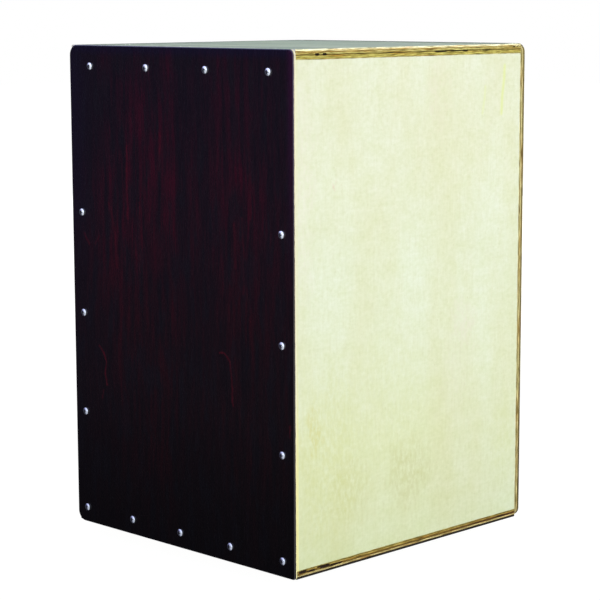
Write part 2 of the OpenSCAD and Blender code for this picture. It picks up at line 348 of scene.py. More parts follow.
class Mat(Graph):
    """A node material. x, y, z are the place on the object in mm."""

    def __init__(self, name):
        self.material = bpy.data.materials.new(name)
        self.material.use_nodes = True
        super().__init__(self.material.node_tree, "Material")
        metres = self.node("TexCoord", output="Object")
        self.place = self.scaled(metres, (1000, 1000, 1000))
        self.x, self.y, self.z = self.node("SeparateXYZ", {0: self.place}, output=(0, 1, 2))

    def scaled(self, vector, scales):
        return self.node("VectorMath", {0: vector, 1: scales}, operation="MULTIPLY")

    def noise(self, *axes, scale=1.0, **more):
        """Noise over three axes, each (value, how fast it runs per mm) or a fixed number."""
        axes = [axis[0] * axis[1] if isinstance(axis, tuple) else axis for axis in axes]
        return self.noise_at(self.vec(*axes), scale, **more)

    def solid_noise(self, x, y, z, **more):
        """Noise in space, running at the given rates per mm along x, y and z."""
        return self.noise_at(self.scaled(self.place, (x, y, z)), **more)

    def noise_at(self, vector, scale=1.0, detail=2.0, rough=0.5, distort=0.0):
        inputs = {"Vector": vector, "Scale": scale, "Detail": detail, "Roughness": rough,
                  "Distortion": distort}
        return self.node("TexNoise", inputs, output="Fac")

    def up_box(self, stops):
        """A ramp from the floor to the seat top."""
        return self.ramp(self.z * (1 / SEAT_TOP), stops)

    def blob(self, a, b, centre, reach):
        """1 at the centre in the (a, b) plane, falling to 0 at its reach along each axis."""
        part_a = abs((a - centre[0]) * (1.0 / reach[0])) ** 2.0
        part_b = abs((b - centre[1]) * (1.0 / reach[1])) ** 2.0
        return (part_a + part_b).ease(1.0, 0.0)

    def stroke(self, a, b, points, radius):
        """1 along a line through points in the (a, b) plane, falling to 0 at the radius."""
        nearest = None
        for (a0, b0), (a1, b1) in zip(points[:-1], points[1:]):
            run_a, run_b = a1 - a0, b1 - b0
            length2 = run_a * run_a + run_b * run_b
            from_a, from_b = a - a0, b - b0
            part = self.math("ADD", from_a * (run_a / length2), from_b * (run_b / length2),
                             clamp=True)
            off_a, off_b = from_a - part * run_a, from_b - part * run_b
            away = (off_a * off_a + off_b * off_b).sqrt()
            nearest = away if nearest is None else self.math("MINIMUM", nearest, away)
        return nearest.ease(radius, 0.0)

    def sunk(self):
        """How deep the mesh is sunk at glue lines and voids, stored on it."""
        return self.node("Attribute", output="Fac", attribute_type="GEOMETRY",
                         attribute_name="sunk")

    def bump(self, height, depth, strength):
        return self.node("Bump", {"Strength": strength, "Distance": depth * MM, "Height": height})

    def bsdf(self, colour, rough, normal, **more):
        """Finishes the material; more names further inputs, with _ for a space."""
        inputs = {"Base Color": colour, "Roughness": rough, "Normal": normal}
        inputs.update((key.replace("_", " "), value) for key, value in more.items())
        self.finish(self.node("BsdfPrincipled", inputs))
        return self.material

    def coated(self, colour, height, rough, coat=0.35, coat_rough=0.16, depth=0.05, spec=0.45):
        """Lacquered wood."""
        return self.bsdf(colour, rough, self.bump(height, depth, strength=0.8), Coat_Weight=coat,
                         Coat_Roughness=coat_rough, Specular_IOR_Level=spec)

    def axes(self, grain):
        """(along, across, across) places for a grain direction."""
        return {"x": (self.x, self.y, self.z), "y": (self.y, self.x, self.z),
                "z": (self.z, self.x, self.y)}[grain]


def linear(*display):
    """Linear colour of an 8-bit display colour."""
    parts = [part / 255 for part in display]
    return tuple(c / 12.92 if c <= 0.04045 else ((c + 0.055) / 1.055) ** 2.4 for c in parts)


def tones(stops, light):
    """Stops given as display colours, as they look under a light of that strength."""
    return [(where, tuple(c / light for c in linear(*colour))) for where, colour in stops]


# ---------------------------------------------------------------- birch plywood materials

BIRCH = (0.755, 0.795, 0.605)
BIRCH_WARM = (0.725, 0.745, 0.515)
BIRCH_DEEP = (0.61, 0.60, 0.36)
# painted shade for the voids in the ply edges
VOID_SHADE = linear(30, 18, 8)

# Ply edges: (place across the layers in mm, display colour)
SEAT_PLY = [
    (470.50, (205, 203, 160)), (470.85, (196, 190, 138)), (471.15, (160, 150, 86)),
    (471.45, (176, 166, 84)), (472.20, (192, 184, 98)), (472.75, (188, 178, 92)),
    (473.00, (146, 132, 62)), (473.25, (160, 146, 72)), (473.55, (200, 190, 104)),
    (474.05, (190, 178, 92)), (474.35, (108, 94, 38)), (474.75, (88, 72, 26)),
    (475.10, (112, 98, 42)), (475.35, (188, 178, 102)), (475.90, (190, 182, 112)),
    (476.30, (172, 160, 88)), (476.75, (204, 196, 128)), (477.05, (160, 140, 76)),
    # the last three stops, from 478.25 mm up, are paler than the birch face: partly the pale top
    # veneer, partly a painted highlight along the top edge
    (477.45, (152, 126, 62)), (477.90, (190, 172, 102)), (478.25, (246, 240, 186)),
    (479.00, (254, 251, 204)), (480.00, (252, 252, 212)),
]
BASE_PLY = [
    # the lowest stops, 10 to 12.5 mm, are near black: painted shade where the edge turns under
    (10.00, (40, 34, 22)), (10.70, (24, 19, 9)), (11.40, (18, 14, 6)), (12.15, (26, 20, 8)),
    (12.45, (80, 70, 38)), (12.75, (166, 152, 100)), (13.30, (188, 174, 120)),
    (13.75, (172, 156, 100)), (14.00, (104, 86, 36)), (14.60, (88, 68, 20)),
    (15.20, (108, 86, 30)), (15.60, (122, 100, 40)), (15.90, (150, 130, 66)),
    (16.50, (156, 138, 74)), (16.90, (126, 108, 46)), (17.40, (112, 98, 40)),
    (17.70, (146, 134, 76)), (18.00, (168, 158, 96)),
]
# The back panel's, measured from its front face
BACK_PLY = [
    (0.00, (206, 202, 150)), (0.50, (196, 190, 138)), (0.85, (160, 150, 98)),
    (1.60, (146, 134, 80)), (2.05, (160, 150, 98)), (2.50, (196, 186, 132)),
    (3.30, (200, 190, 138)), (3.70, (168, 156, 104)), (4.20, (138, 126, 76)),
    (5.10, (120, 110, 66)), (5.70, (150, 140, 94)), (6.20, (158, 148, 104)),
    (7.00, (140, 130, 90)),
]


def birch_face(mat, grain, seed, tone=1.0, figure_amount=0.12):
    """Rotary-cut birch with its grain along one axis: (colour, height, roughness)."""
    along, one, two = mat.axes(grain)
    across = one + two * 0.37 + seed * 57.0

    def field(per_across, per_along, shift=0.0, **more):
        return mat.noise((across, per_across), seed + shift, (along, per_along), **more)

    # the flame figure is the level lines of a slow, stretched field
    slow = field(0.0105, 0.0022, 3.1, detail=1.5, rough=0.45, distort=0.25)
    figure = mat.math("PINGPONG", slow * 15.0, 1.0).ease(0.0, 0.35, low=1.0, high=0.0)
    bands = field(0.05, 0.0042, detail=3.0, rough=0.55)
    fibre = field(0.95, 0.055, 9.0, detail=4.0, rough=0.62, distort=0.15)
    fine = field(3.4, 0.06, 5.0)
    fleck = field(1.5, 0.19, 17.0, detail=1.0).ease(0.70, 0.79)
    cloud = field(0.011, 0.008, 40.0, detail=3.0)
    mottle = field(0.50, 0.30, 61.0, rough=0.6)
    patchy = field(0.13, 0.07, 73.0, rough=0.55)

    colour = mat.mix(bands.ease(0.34, 0.72), BIRCH, BIRCH_WARM)
    colour = mat.mix(figure * figure_amount, colour, BIRCH_DEEP)
    colour = mat.mix(fibre.ease(0.45, 0.80, high=0.28), colour, BIRCH_DEEP)
    colour = mat.mix(fibre.ease(0.50, 0.22, high=0.28), colour, (0.83, 0.87, 0.71))
    colour = mat.mix(fleck * 0.34, colour, (0.52, 0.46, 0.25))
    colour = mat.mix(cloud.ease(0.42, 0.68, high=0.22), colour, (0.675, 0.69, 0.44))
    # uneven brightness, strongest in blue
    red = mottle.line(0.0, 1.0, low=0.885, high=1.115) + patchy.line(0.0, 1.0, low=-0.07, high=0.07)
    blue = mottle.line(0.0, 1.0, low=0.80, high=1.20) + patchy.line(0.0, 1.0, low=-0.17, high=0.17)
    colour = mat.tint(colour, mat.vec(red, red ** 0.85, blue))
    if tone != 1.0:
        colour = mat.tint(colour, (tone, tone, tone))
    height = fibre * 0.55 + (fine * 0.25 + fleck * -0.5)
    return colour, height, fibre.line(0.3, 0.7, low=0.40, high=0.54)


def ply_edge(mat, along, layer, low, high, stops, wander_mm=0.22):
    """A plywood edge with its layers between low and high: (colour, fine end grain)."""
    wander = mat.noise((along, 0.021), (layer, 0.11), 4.0) - 0.5
    streak = mat.noise((along, 0.075), (layer, 1.9), 8.0, detail=3.0, rough=0.6)
    fine = mat.noise((along, 1.7), (layer, 2.6), 2.0, rough=0.6)
    wavy = layer + wander * (wander_mm * 2)
    span = high - low
    layers = [((where - low) / span, colour) for where, colour in stops]
    colour = mat.ramp((wavy - low) * (1.0 / span), layers)
    shade = (streak.line(0.40, 0.60, low=0.34, high=1.50)
             + fine.line(0.2, 0.8, low=-0.12, high=0.12))
    colour = mat.tint(colour, mat.vec(shade, shade ** 1.08, shade ** 1.45))
    # here and there the glue or the cross layers show as a long red-brown streak
    rust = mat.noise((along, 0.024), (layer, 1.1), 21.0)
    colour = mat.tint(colour, (0.66, 0.42, 0.20), rust.ease(0.52, 0.62) * 0.8)
    # painted shade: where the edge is sunk in a void it is painted near black
    return mat.mix(mat.sunk().ease(0.25, 0.95), colour, VOID_SHADE), fine


# Stains on the right side: centre (y, z), reach (y, z), colour, strength
SIDE_STAINS = [
    ((-6, 84), (40, 42), (0.56, 0.55, 0.27), 0.42),
    ((-80, 78), (34, 42), (0.60, 0.59, 0.28), 0.30),
    ((-120, 110), (55, 120), (0.66, 0.68, 0.33), 0.42),
    ((-40, 150), (90, 95), (0.68, 0.71, 0.40), 0.30),
    ((-134, 140), (12, 26), (0.66, 0.60, 0.20), 0.35),
    ((132, 90), (24, 60), (0.66, 0.70, 0.36), 0.30),
    ((74, 216), (22, 26), (0.78, 0.73, 0.62), 0.50),
    ((30, 436), (20, 44), (0.76, 0.73, 0.56), 0.42),
    ((-152, 360), (26, 130), (0.79, 0.77, 0.64), 0.50),
    ((-107, 361), (4.5, 4.5), (0.74, 0.52, 0.44), 0.45),
    ((60, 170), (30, 60), (0.76, 0.74, 0.60), 0.25),
]
# Yellow streaks on the right side: points (y, z), radius, strength, colour
SIDE_STREAKS = [
    ([(127.5, 459.0), (126.6, 446.0), (124.2, 430.0), (123.4, 414.0)], 3.4, 0.62,
     (0.72, 0.80, 0.26)),
    ([(99.0, 440.0), (97.8, 428.0), (95.0, 415.0)], 2.6, 0.34, (0.72, 0.80, 0.30)),
]
# Painted shade: paler and cooler at the top, darker and warmer towards the floor, as the light falls
# off down the side: (part of the height, tint)
SIDE_PAINTED_SHADE = [
    (0.02, (0.80, 0.85, 0.76)), (0.104, (0.838, 0.868, 0.790)), (0.25, (0.885, 0.912, 0.845)),
    (0.417, (0.918, 0.945, 0.920)), (0.583, (0.940, 0.970, 0.985)),
    (0.75, (0.955, 0.970, 0.985)), (1.0, (0.955, 0.960, 0.985)),
]


def side_marks(mat, colour):
    """Soft mineral stains with ragged edges, leaning streaks, a warmer lower front and painted shade
    that darkens the panel towards the floor.
    """
    slow = mat.noise((mat.y, 0.045), (mat.z, 0.035), 2.0) - 0.5
    quick = mat.noise((mat.y, 0.20), (mat.z, 0.10), 5.0) - 0.5
    y = mat.y + (slow * 46.0 + quick * 16.0)
    z = mat.z + (slow * -38.0 + quick * 30.0)
    ragged = mat.noise((mat.y, 0.30), (mat.z, 0.12), 14.0, detail=3.0, rough=0.6)
    ragged = ragged.ease(0.36, 0.62, low=0.15)
    for centre, reach, stain, strength in SIDE_STAINS:
        colour = mat.mix(mat.blob(y, z, centre, reach) * ragged * strength, colour, stain)
    for points, radius, strength, stain in SIDE_STREAKS:
        colour = mat.mix(mat.stroke(mat.y, mat.z, points, radius) * strength, colour, stain)
    # painted shade: the side is made darker and warmer towards the floor
    colour = mat.tint(colour, mat.up_box(SIDE_PAINTED_SHADE))
    low_front = mat.y.ease(70.0, 0.0) * mat.z.ease(190.0, 110.0)
    colour = mat.tint(colour, (0.985, 0.985, 0.90), low_front * 0.8)
    front_edge = mat.y.ease(-152.6, -154.6)
    edge_amount = front_edge * mat.z.ease(260.0, 60.0, low=0.15, high=0.75)
    return mat.mix(edge_amount, colour, (0.82, 0.78, 0.30))


def side_right_material():
    mat = Mat("birch_ply_side_right")
    colour, height, rough = birch_face(mat, "z", seed=0.0, figure_amount=0.035)
    return mat.coated(side_marks(mat, colour), height, rough)


def side_left_material():
    mat = Mat("birch_ply_side_left")
    return mat.coated(*birch_face(mat, "z", seed=4.0))


def panel_edge_mask(mat):
    """1 on the cut long edges of the seat or base, also where they are sunk."""
    return (abs(mat.x) + mat.sunk() * 1.1).ease(152.1, 152.7)


def seat_material():
    mat = Mat("birch_ply_seat")
    face, height, rough = birch_face(mat, "x", seed=2.0)
    edge, fine = ply_edge(mat, mat.y, mat.z, SEAT_UNDER, SEAT_TOP, tones(SEAT_PLY, light=1.05))
    on_edge = panel_edge_mask(mat)
    colour = mat.mix(on_edge, face, edge)
    # painted highlight: the seat's front end, seen beside the tapa's corner, is a pale lilac
    front_end = mat.y.ease(-155.2, -155.45)
    colour = mat.mix(front_end * (1.0 - on_edge), colour, (0.78, 0.76, 0.82))
    # painted reflection: streaks of grey-green and blue for the top face
    lane = mat.noise((mat.y, 0.045), (mat.x, 0.003), 13.0, detail=2.5, rough=0.6)
    painted_sheen = mat.ramp(lane, [
        (0.32, (0.66, 0.74, 0.76)), (0.42, (0.74, 0.86, 0.75)), (0.50, (0.86, 0.94, 0.84)),
        (0.58, (0.75, 0.84, 0.80)), (0.68, (0.72, 0.80, 0.86))])
    # painted reflection: the top is tinted in grey-green streaks, like the room seen in the lacquer,
    # mostly at a grazing angle
    facing = mat.node("LayerWeight", {"Blend": 0.5}, output="Facing")
    graze = facing.ease(0.90, 0.97)
    top_face = (1.0 - on_edge) * mat.z.ease(479.6, 479.9)
    colour = mat.tint(colour, painted_sheen, top_face * (0.25 + graze * 0.75))
    # painted shade: at a grazing angle the back and left rims are painted dark and their lacquer
    # dulled
    rim = mat.math("MAXIMUM", mat.y.ease(120.0, 136.0), mat.x.ease(-124.0, -138.0))
    painted_far_shade = top_face * graze * rim
    colour = mat.tint(colour, (0.16, 0.18, 0.17), painted_far_shade * 0.9)
    height = height * (1.0 - on_edge) + fine * on_edge * 1.6
    rough = rough * (1.0 - on_edge) + on_edge * 0.62
    drag = mat.noise((mat.y, 0.030), (mat.x, 0.004), 3.0, detail=3.0, rough=0.6)
    coat = (1.0 - on_edge) * drag.line(0.36, 0.64, low=0.05, high=0.52)
    spec = on_edge.ease(0.0, 1.0, low=0.45, high=0.2) - painted_far_shade * 0.40
    return mat.coated(colour, height, rough, coat=coat * (1.0 - painted_far_shade), coat_rough=0.12,
                      spec=spec)


def base_material():
    mat = Mat("birch_ply_base")
    face, height, rough = birch_face(mat, "x", seed=6.0, tone=0.93)
    edge, fine = ply_edge(mat, mat.y, mat.z, BASE_UNDER, BASE_TOP, tones(BASE_PLY, light=0.92))
    on_edge = panel_edge_mask(mat)
    colour = mat.mix(on_edge, face, edge)
    # the cross layer turns darker towards the back
    band = mat.z.ease(13.9, 14.4) * mat.z.ease(16.4, 15.9)
    colour = mat.tint(colour, (0.42, 0.24, 0.10), band * mat.y.ease(30.0, 105.0) * 0.85)
    # the front end, behind the playing plate, is near black
    front_end = mat.y.ease(-155.1, -155.4) * mat.z.ease(17.6, 16.0)
    colour = mat.mix(front_end, colour, (0.022, 0.017, 0.013))
    height = height * (1.0 - on_edge) + fine * on_edge * 1.6
    rough = rough * (1.0 - on_edge) + on_edge * 0.62
    return mat.coated(colour, height, rough, coat=(1.0 - on_edge) * 0.2, coat_rough=0.2,
                      spec=on_edge.ease(0.0, 1.0, low=0.4, high=0.2))


def back_face_material():
    mat = Mat("birch_ply_back")
    colour, height, rough = birch_face(mat, "z", seed=11.0)
    # the wood round the sound hole is slightly toned by handling
    radius = (mat.x ** 2.0 + (mat.z - HOLE_HEIGHT) ** 2.0).sqrt()
    colour = mat.mix(radius.ease(66.0, 60.5, high=0.30), colour, (0.56, 0.52, 0.29))
    return mat.coated(colour, height, rough)


def back_ply_edge(mat, along):
    stops = [(BACK_FRONT + depth, colour) for depth, colour in BACK_PLY]
    return ply_edge(mat, along, mat.y, BACK_FRONT, BACK_REAR, tones(stops, light=0.98),
                    wander_mm=0.18)


def finish_back_edge(mat, colour, fine):
    return mat.coated(colour, fine, rough=0.62, coat=0.0, depth=0.09, spec=0.2)


def back_edge_material():
    """The outside edge of the back panel, with painted shade that makes it darker low down, to the
    rear and along the top.
    """
    mat = Mat("birch_ply_back_edge")
    colour, fine = back_ply_edge(mat, mat.x + mat.z)
    # painted shade: darker low down, towards the rear arris and along the top edge
    low = mat.z.line(230.0, 20.0, high=0.75)
    colour = mat.tint(colour, (0.80, 0.79, 0.76), low)
    colour = mat.tint(colour, (0.76, 0.76, 0.74), mat.y.ease(155.4, 157.2))
    low_rear = mat.y.ease(155.2, 157.0) * mat.z.ease(170.0, 40.0)
    colour = mat.tint(colour, (0.46, 0.44, 0.42), low_rear)
    colour = mat.tint(colour, (0.24, 0.25, 0.22), mat.z.ease(479.0, 479.7))
    return finish_back_edge(mat, colour, fine)


def hole_edge_material():
    mat = Mat("birch_ply_hole_edge")
    angle = mat.math("ARCTAN2", mat.z - HOLE_HEIGHT, mat.x)
    return finish_back_edge(mat, *back_ply_edge(mat, angle * HOLE_RADIUS))


def raw_ply_material(name, grain, seed, tone=0.92):
    """Unfinished inner face."""
    mat = Mat(name)
    colour, height, rough = birch_face(mat, grain, seed, tone)
    normal = mat.bump(height, depth=0.07, strength=0.9)
    colour = mat.mix(0.25, colour, (0.66, 0.55, 0.33))
    return mat.bsdf(colour, rough + 0.14, normal, Specular_IOR_Level=0.3)


# ---------------------------------------------------------------- tapa materials

# How red the stain is across the width and up the height: (part, amount)
RED_ACROSS = [
    (0.00, 0.12), (0.10, 0.34), (0.17, 0.58), (0.24, 0.86), (0.36, 0.92), (0.45, 1.0),
    (0.492, 1.0), (0.499, 0.42), (0.57, 0.34), (0.65, 0.42), (0.73, 0.74), (0.80, 0.84),
    (0.88, 0.62), (0.95, 0.40), (1.0, 0.30),
]
RED_UP = [
    (0.0, 0.14), (0.10, 0.26), (0.20, 0.46), (0.34, 0.60), (0.50, 0.82), (0.62, 1.0),
    (0.74, 0.98), (0.90, 0.84), (1.0, 0.66),
]
# Stain colours up the height of the box, with a painted reflection that turns them bluer towards the
# top: (part of the height, colour or grey)
DARK_STAIN_AND_SHEEN = [
    (0.0, (0.0068, 0.0052, 0.0058)), (0.45, (0.0078, 0.0054, 0.0070)),
    (0.75, (0.0078, 0.0058, 0.0088)), (1.0, (0.0078, 0.0060, 0.0102)),
]
CRIMSON_STAIN_AND_SHEEN = [
    (0.0, (0.028, 0.0042, 0.0062)), (0.45, (0.040, 0.0040, 0.0072)),
    (0.75, (0.044, 0.0036, 0.0110)), (1.0, (0.040, 0.0040, 0.0130)),
]
# painted shade: how much of the tapa's colour is kept up the height
TAPA_LIGHT = [
    (0.02, 0.42), (0.11, 0.50), (0.21, 0.60), (0.32, 0.78), (0.42, 0.86), (0.53, 0.91),
    (0.66, 1.0), (1.0, 1.0),
]
# Brighter streaks and curls where the stain has pooled: points (x, z), radius, strength
STAIN_CURLS = [
    ([(-115.5, 190.0), (-109.0, 184.0), (-105.5, 175.5), (-107.0, 164.0), (-104.8, 153.0)],
     1.9, 0.95),
    ([(-110.0, 147.0), (-112.5, 139.0)], 1.8, 0.6),
    ([(56.5, 204.4), (62.6, 205.0), (67.3, 201.8), (70.4, 196.0), (72.2, 187.4), (73.2, 172.0),
      (73.6, 158.0)], 1.6, 0.85),
    ([(-135.0, 298.5), (-128.0, 288.5)], 2.2, 0.55),
    ([(-113.0, 297.5), (-119.5, 289.5)], 2.0, 0.40),
    ([(-70.2, 386.0), (-70.6, 350.0), (-70.0, 318.0)], 2.6, 0.55),
    ([(-52.5, 334.0), (-53.6, 300.0), (-53.3, 268.0)], 1.7, 0.60),
    ([(-97.0, 330.0), (-92.0, 314.0), (-89.0, 300.0), (-86.5, 270.0)], 3.2, 0.42),
    ([(-22.0, 400.0), (-23.5, 366.0)], 3.0, 0.42),
    ([(87.5, 330.0), (89.0, 300.0), (89.3, 262.0)], 1.9, 0.45),
    ([(77.5, 324.0), (78.6, 284.0)], 2.4, 0.35),
    ([(97.0, 396.0), (98.4, 330.0)], 2.6, 0.32),
    ([(147.4, 150.0), (148.2, 139.0)], 1.5, 0.70),
]
STREAK_GAIN = 1.0  # how strongly the streaks show in the red stain
EDGE_RAGGED = 1.0  # mm by which the stain line on the tapa's edge comes and goes


def red_zones(mat):
    """Where the stain is red: two broad zones, clouded, less in the upper left corner."""
    cloud = mat.noise((mat.x, 0.016), 19.0, (mat.z, 0.012), detail=3.0, rough=0.55)
    across = mat.ramp((mat.x + 153.0) * (1 / 306.0), RED_ACROSS, "EASE")
    up = mat.ramp((mat.z - BASE_UNDER) * (1 / 470.0), RED_UP, "EASE")
    zone = across * up * cloud.line(0.32, 0.64, low=0.50, high=1.30)
    corner = mat.blob(mat.x, mat.z, centre=(-148.0, 430.0), reach=(62.0, 120.0))
    return zone * (1.0 - corner * 0.85)


def stain_curls(mat, colour, fibre):
    wobble = mat.noise((mat.x, 0.22), 5.0, (mat.z, 0.10))
    x = mat.x + (wobble - 0.5) * 5.0
    marks = None
    for points, radius, strength in STAIN_CURLS:
        mark = mat.stroke(x, mat.z, points, radius) * strength
        marks = mark if marks is None else mat.math("MAXIMUM", marks, mark)
    marks = marks * fibre.ease(0.30, 0.62, low=0.45)
    colour = mat.mix(marks * 0.75, colour, (0.120, 0.0055, 0.0150))
    patch = mat.blob(x, mat.z, centre=(-30.0, 288.0), reach=(15.0, 34.0)) * 0.30
    return mat.mix(patch, colour, (0.048, 0.0030, 0.0085))


def tapa_material():
    mat = Mat("stained_veneer_face")
    grain = mat.z
    # every streak line wanders a little along the grain
    x = mat.x + (mat.noise((mat.x, 0.014), 1.0, (grain, 0.007)) - 0.5) * 16.0
    wide = mat.noise((x, 0.065), 3.0, (grain, 0.0060), detail=3.0, rough=0.55)
    middle = mat.noise((x, 0.19), 7.0, (grain, 0.0130), detail=3.0, rough=0.60)
    thin = mat.noise((x, 0.52), 9.0, (grain, 0.030), detail=3.0, rough=0.62)
    fibre = mat.noise((mat.x, 1.3), 12.0, (grain, 0.09), detail=3.0, rough=0.6)
    mottle = mat.noise((mat.x, 0.42), 23.0, (grain, 0.26), rough=0.6)
    pore = mat.noise((mat.x, 1.05), 31.0, (grain, 0.075), rough=0.6, distort=0.2).ease(0.59, 0.71)
    small_pore = mat.noise((mat.x, 2.4), 44.0, (grain, 0.16), detail=1.0).ease(0.63, 0.76)

    zone = red_zones(mat)
    streaks = (wide.line(0.40, 0.60, high=0.55) + middle.ease(0.41, 0.59, high=0.60)
               + thin.ease(0.40, 0.62, high=0.30))
    red = zone * (streaks * STREAK_GAIN) ** 1.45
    colour = mat.mix(red.line(0.0, 1.25), mat.up_box(DARK_STAIN_AND_SHEEN), mat.up_box(CRIMSON_STAIN_AND_SHEEN))
    colour = stain_curls(mat, colour, fibre)
    colour = mat.mix(pore * 0.45, colour, (0.0034, 0.0026, 0.0036))
    colour = mat.mix(small_pore * 0.45, colour, (0.0040, 0.0030, 0.0042))
    shade = (fibre.line(0.3, 0.7, low=0.87, high=1.13)
             + mottle.line(0.25, 0.75, low=-0.24, high=0.24))
    # pools where the stain stayed slate blue
    slate = mat.noise((x, 0.085), 51.0, (grain, 0.020), detail=3.0, rough=0.6).ease(0.49, 0.62)
    colour = mat.mix(slate * 0.55, colour, (0.0078, 0.0080, 0.0118))
    colour = mat.tint(colour, mat.vec(shade, shade ** 0.8, shade ** 0.9))
    # the seam between the two veneer leaves
    seam = abs(mat.x + 0.6).ease(0.45, 0.0, high=0.6)
    colour = mat.mix(seam, colour, (0.004, 0.003, 0.004))
    # painted reflections: a blue cast along the top and up the left, violet down the right
    upper_left = mat.x.ease(-118.0, -150.0) * mat.z.ease(230.0, 400.0, high=0.45)
    painted_navy_sheen = mat.math("MAXIMUM", mat.z.ease(468.0, 479.0), upper_left)
    colour = mat.mix(painted_navy_sheen * 0.75, colour, (0.0070, 0.0062, 0.0260))
    painted_violet_sheen = mat.x.ease(142.0, 151.0) * mat.z.ease(240.0, 455.0)
    colour = mat.mix(painted_violet_sheen * 0.62, colour, (0.044, 0.0060, 0.0400))
    # painted shade: darker towards the bottom, as less light reaches the lower half
    light = mat.up_box(TAPA_LIGHT)
    colour = mat.tint(colour, light)
    shine = light.line(0.0, 1.0)
    height = fibre * 0.35 + (pore * -0.8 + small_pore * -0.5)
    rough = thin.line(0.3, 0.7, low=0.22, high=0.30) + pore * 0.10
    return mat.bsdf(colour, rough, mat.bump(height, depth=0.035, strength=0.6),
                    Coat_Weight=shine * 0.50, Coat_Roughness=0.14, Coat_IOR=1.48,
                    Specular_IOR_Level=shine * 0.38)


def tapa_edge_material():
    """The edge of the tapa: stain has run over the outer arris, which carries painted violet and navy
    reflections; the rest is bare.
    """
    mat = Mat("stained_veneer_edge")
    along = mat.x + mat.z
    depth = mat.y + -TAPA_FRONT  # 0 at the face
    run = mat.noise((along, 0.16), (depth, 0.3), 1.0, detail=3.0, rough=0.6)
    wood = mat.ramp(depth * (1 / TAPA_THICK), [
        (0.0, (0.72, 0.70, 0.52)), (0.36, (0.80, 0.78, 0.60)), (0.42, (0.56, 0.50, 0.32)),
        (0.60, (0.60, 0.55, 0.36)), (0.66, (0.82, 0.80, 0.62)), (1.0, (0.84, 0.83, 0.66))])
    wood = mat.tint(wood, (1.0, 0.96, 0.50), mat.z.ease(200.0, 60.0, high=0.7))
    fine = mat.noise((along, 0.9), (depth, 2.0), 3.0, detail=3.0, rough=0.6)
    wood = mat.mix(fine.ease(0.45, 0.8, high=0.35), wood, (0.44, 0.38, 0.20))
    reach = mat.z.line(380.0, 40.0, low=0.85, high=1.65) + (run - 0.5) * EDGE_RAGGED
    stained = (depth - reach).ease(0.12, -0.12)
    # painted reflections on the stained arris: violet up the sides, navy along the top
    painted_violet_sheen = mat.z.ease(240.0, 470.0)
    dark = mat.mix(painted_violet_sheen, (0.0065, 0.0045, 0.0060), (0.030, 0.010, 0.050))
    dark = mat.mix(mat.z.ease(477.0, 479.5), dark, (0.012, 0.010, 0.060))
    colour = mat.mix(stained, wood, dark)
    return mat.coated(colour, fine, stained.ease(0, 1, low=0.55, high=0.30),
                      coat=stained * 0.5, coat_rough=0.15, depth=0.06, spec=0.35)


# ---------------------------------------------------------------- other materials

RING_PITCH = 4.2  # mm between growth rings in the pine


def pine(name, grain, seed):
    """Growth rings cut lengthwise, seen as lines on the faces and arcs on the ends."""
    mat = Mat(name)
    along, one, two = mat.axes(grain)
    wobble = (mat.noise((one, 0.03), (two, 0.03), (along, 0.004)) - 0.5) * 16.0
    off_one = one + (61.0 + seed * 13.0)
    off_two = two + (37.0 + seed * 7.0)
    radius = ((off_one - 200.0) ** 2.0 + (off_two - 260.0) ** 2.0).sqrt() + wobble
    ring = mat.ramp(mat.math("FRACT", radius * (1.0 / RING_PITCH)),
                    [(0.0, 0.0), (0.55, 0.12), (0.86, 0.85), (0.93, 1.0), (1.0, 0.0)])
    fibre = mat.noise((one, 1.3), (two, 1.3), (along, 0.03), detail=3.0, rough=0.6)
    tone = mat.noise((one, 0.05), (two, 0.05), (along, 0.006))
    colour = mat.mix(ring * 0.62, (0.72, 0.56, 0.33), (0.50, 0.31, 0.13))
    colour = mat.tint(colour, (0.86, 0.80, 0.68), tone.ease(0.35, 0.7, high=0.35))
    colour = mat.tint(colour, (0.72, 0.66, 0.55), fibre.ease(0.5, 0.8, high=0.4))
    normal = mat.bump(fibre * 0.6 + ring * 0.3, depth=0.07, strength=0.8)
    return mat.bsdf(colour, 0.55 + ring * -0.1, normal, Specular_IOR_Level=0.35)


def beech(name, grain, fleck_scale):
    mat = Mat(name)
    along, one, two = mat.axes(grain)
    fibre = mat.noise((one, 0.9), (two, 0.9), (along, 0.02), detail=3.0, rough=0.6)
    ray = mat.noise((one, 2.0), (two, 2.0), (along, 0.33), scale=fleck_scale, detail=1.0)
    ray = ray.ease(0.62, 0.74)
    tone = mat.noise((one, 0.08), (two, 0.08), (along, 0.01), detail=3.0, rough=0.55)
    colour = mat.mix(tone.ease(0.3, 0.7), (0.62, 0.42, 0.245), (0.53, 0.335, 0.18))
    colour = mat.mix(ray * 0.6, colour, (0.33, 0.17, 0.08))
    colour = mat.mix(fibre.ease(0.5, 0.8, high=0.35), colour, (0.42, 0.25, 0.125))
    return mat.bsdf(colour, fibre.line(0.3, 0.7, low=0.40, high=0.52),
                    mat.bump(fibre + ray * -0.4, depth=0.05, strength=0.7),
                    Coat_Weight=0.15, Coat_Roughness=0.25, Specular_IOR_Level=0.4)


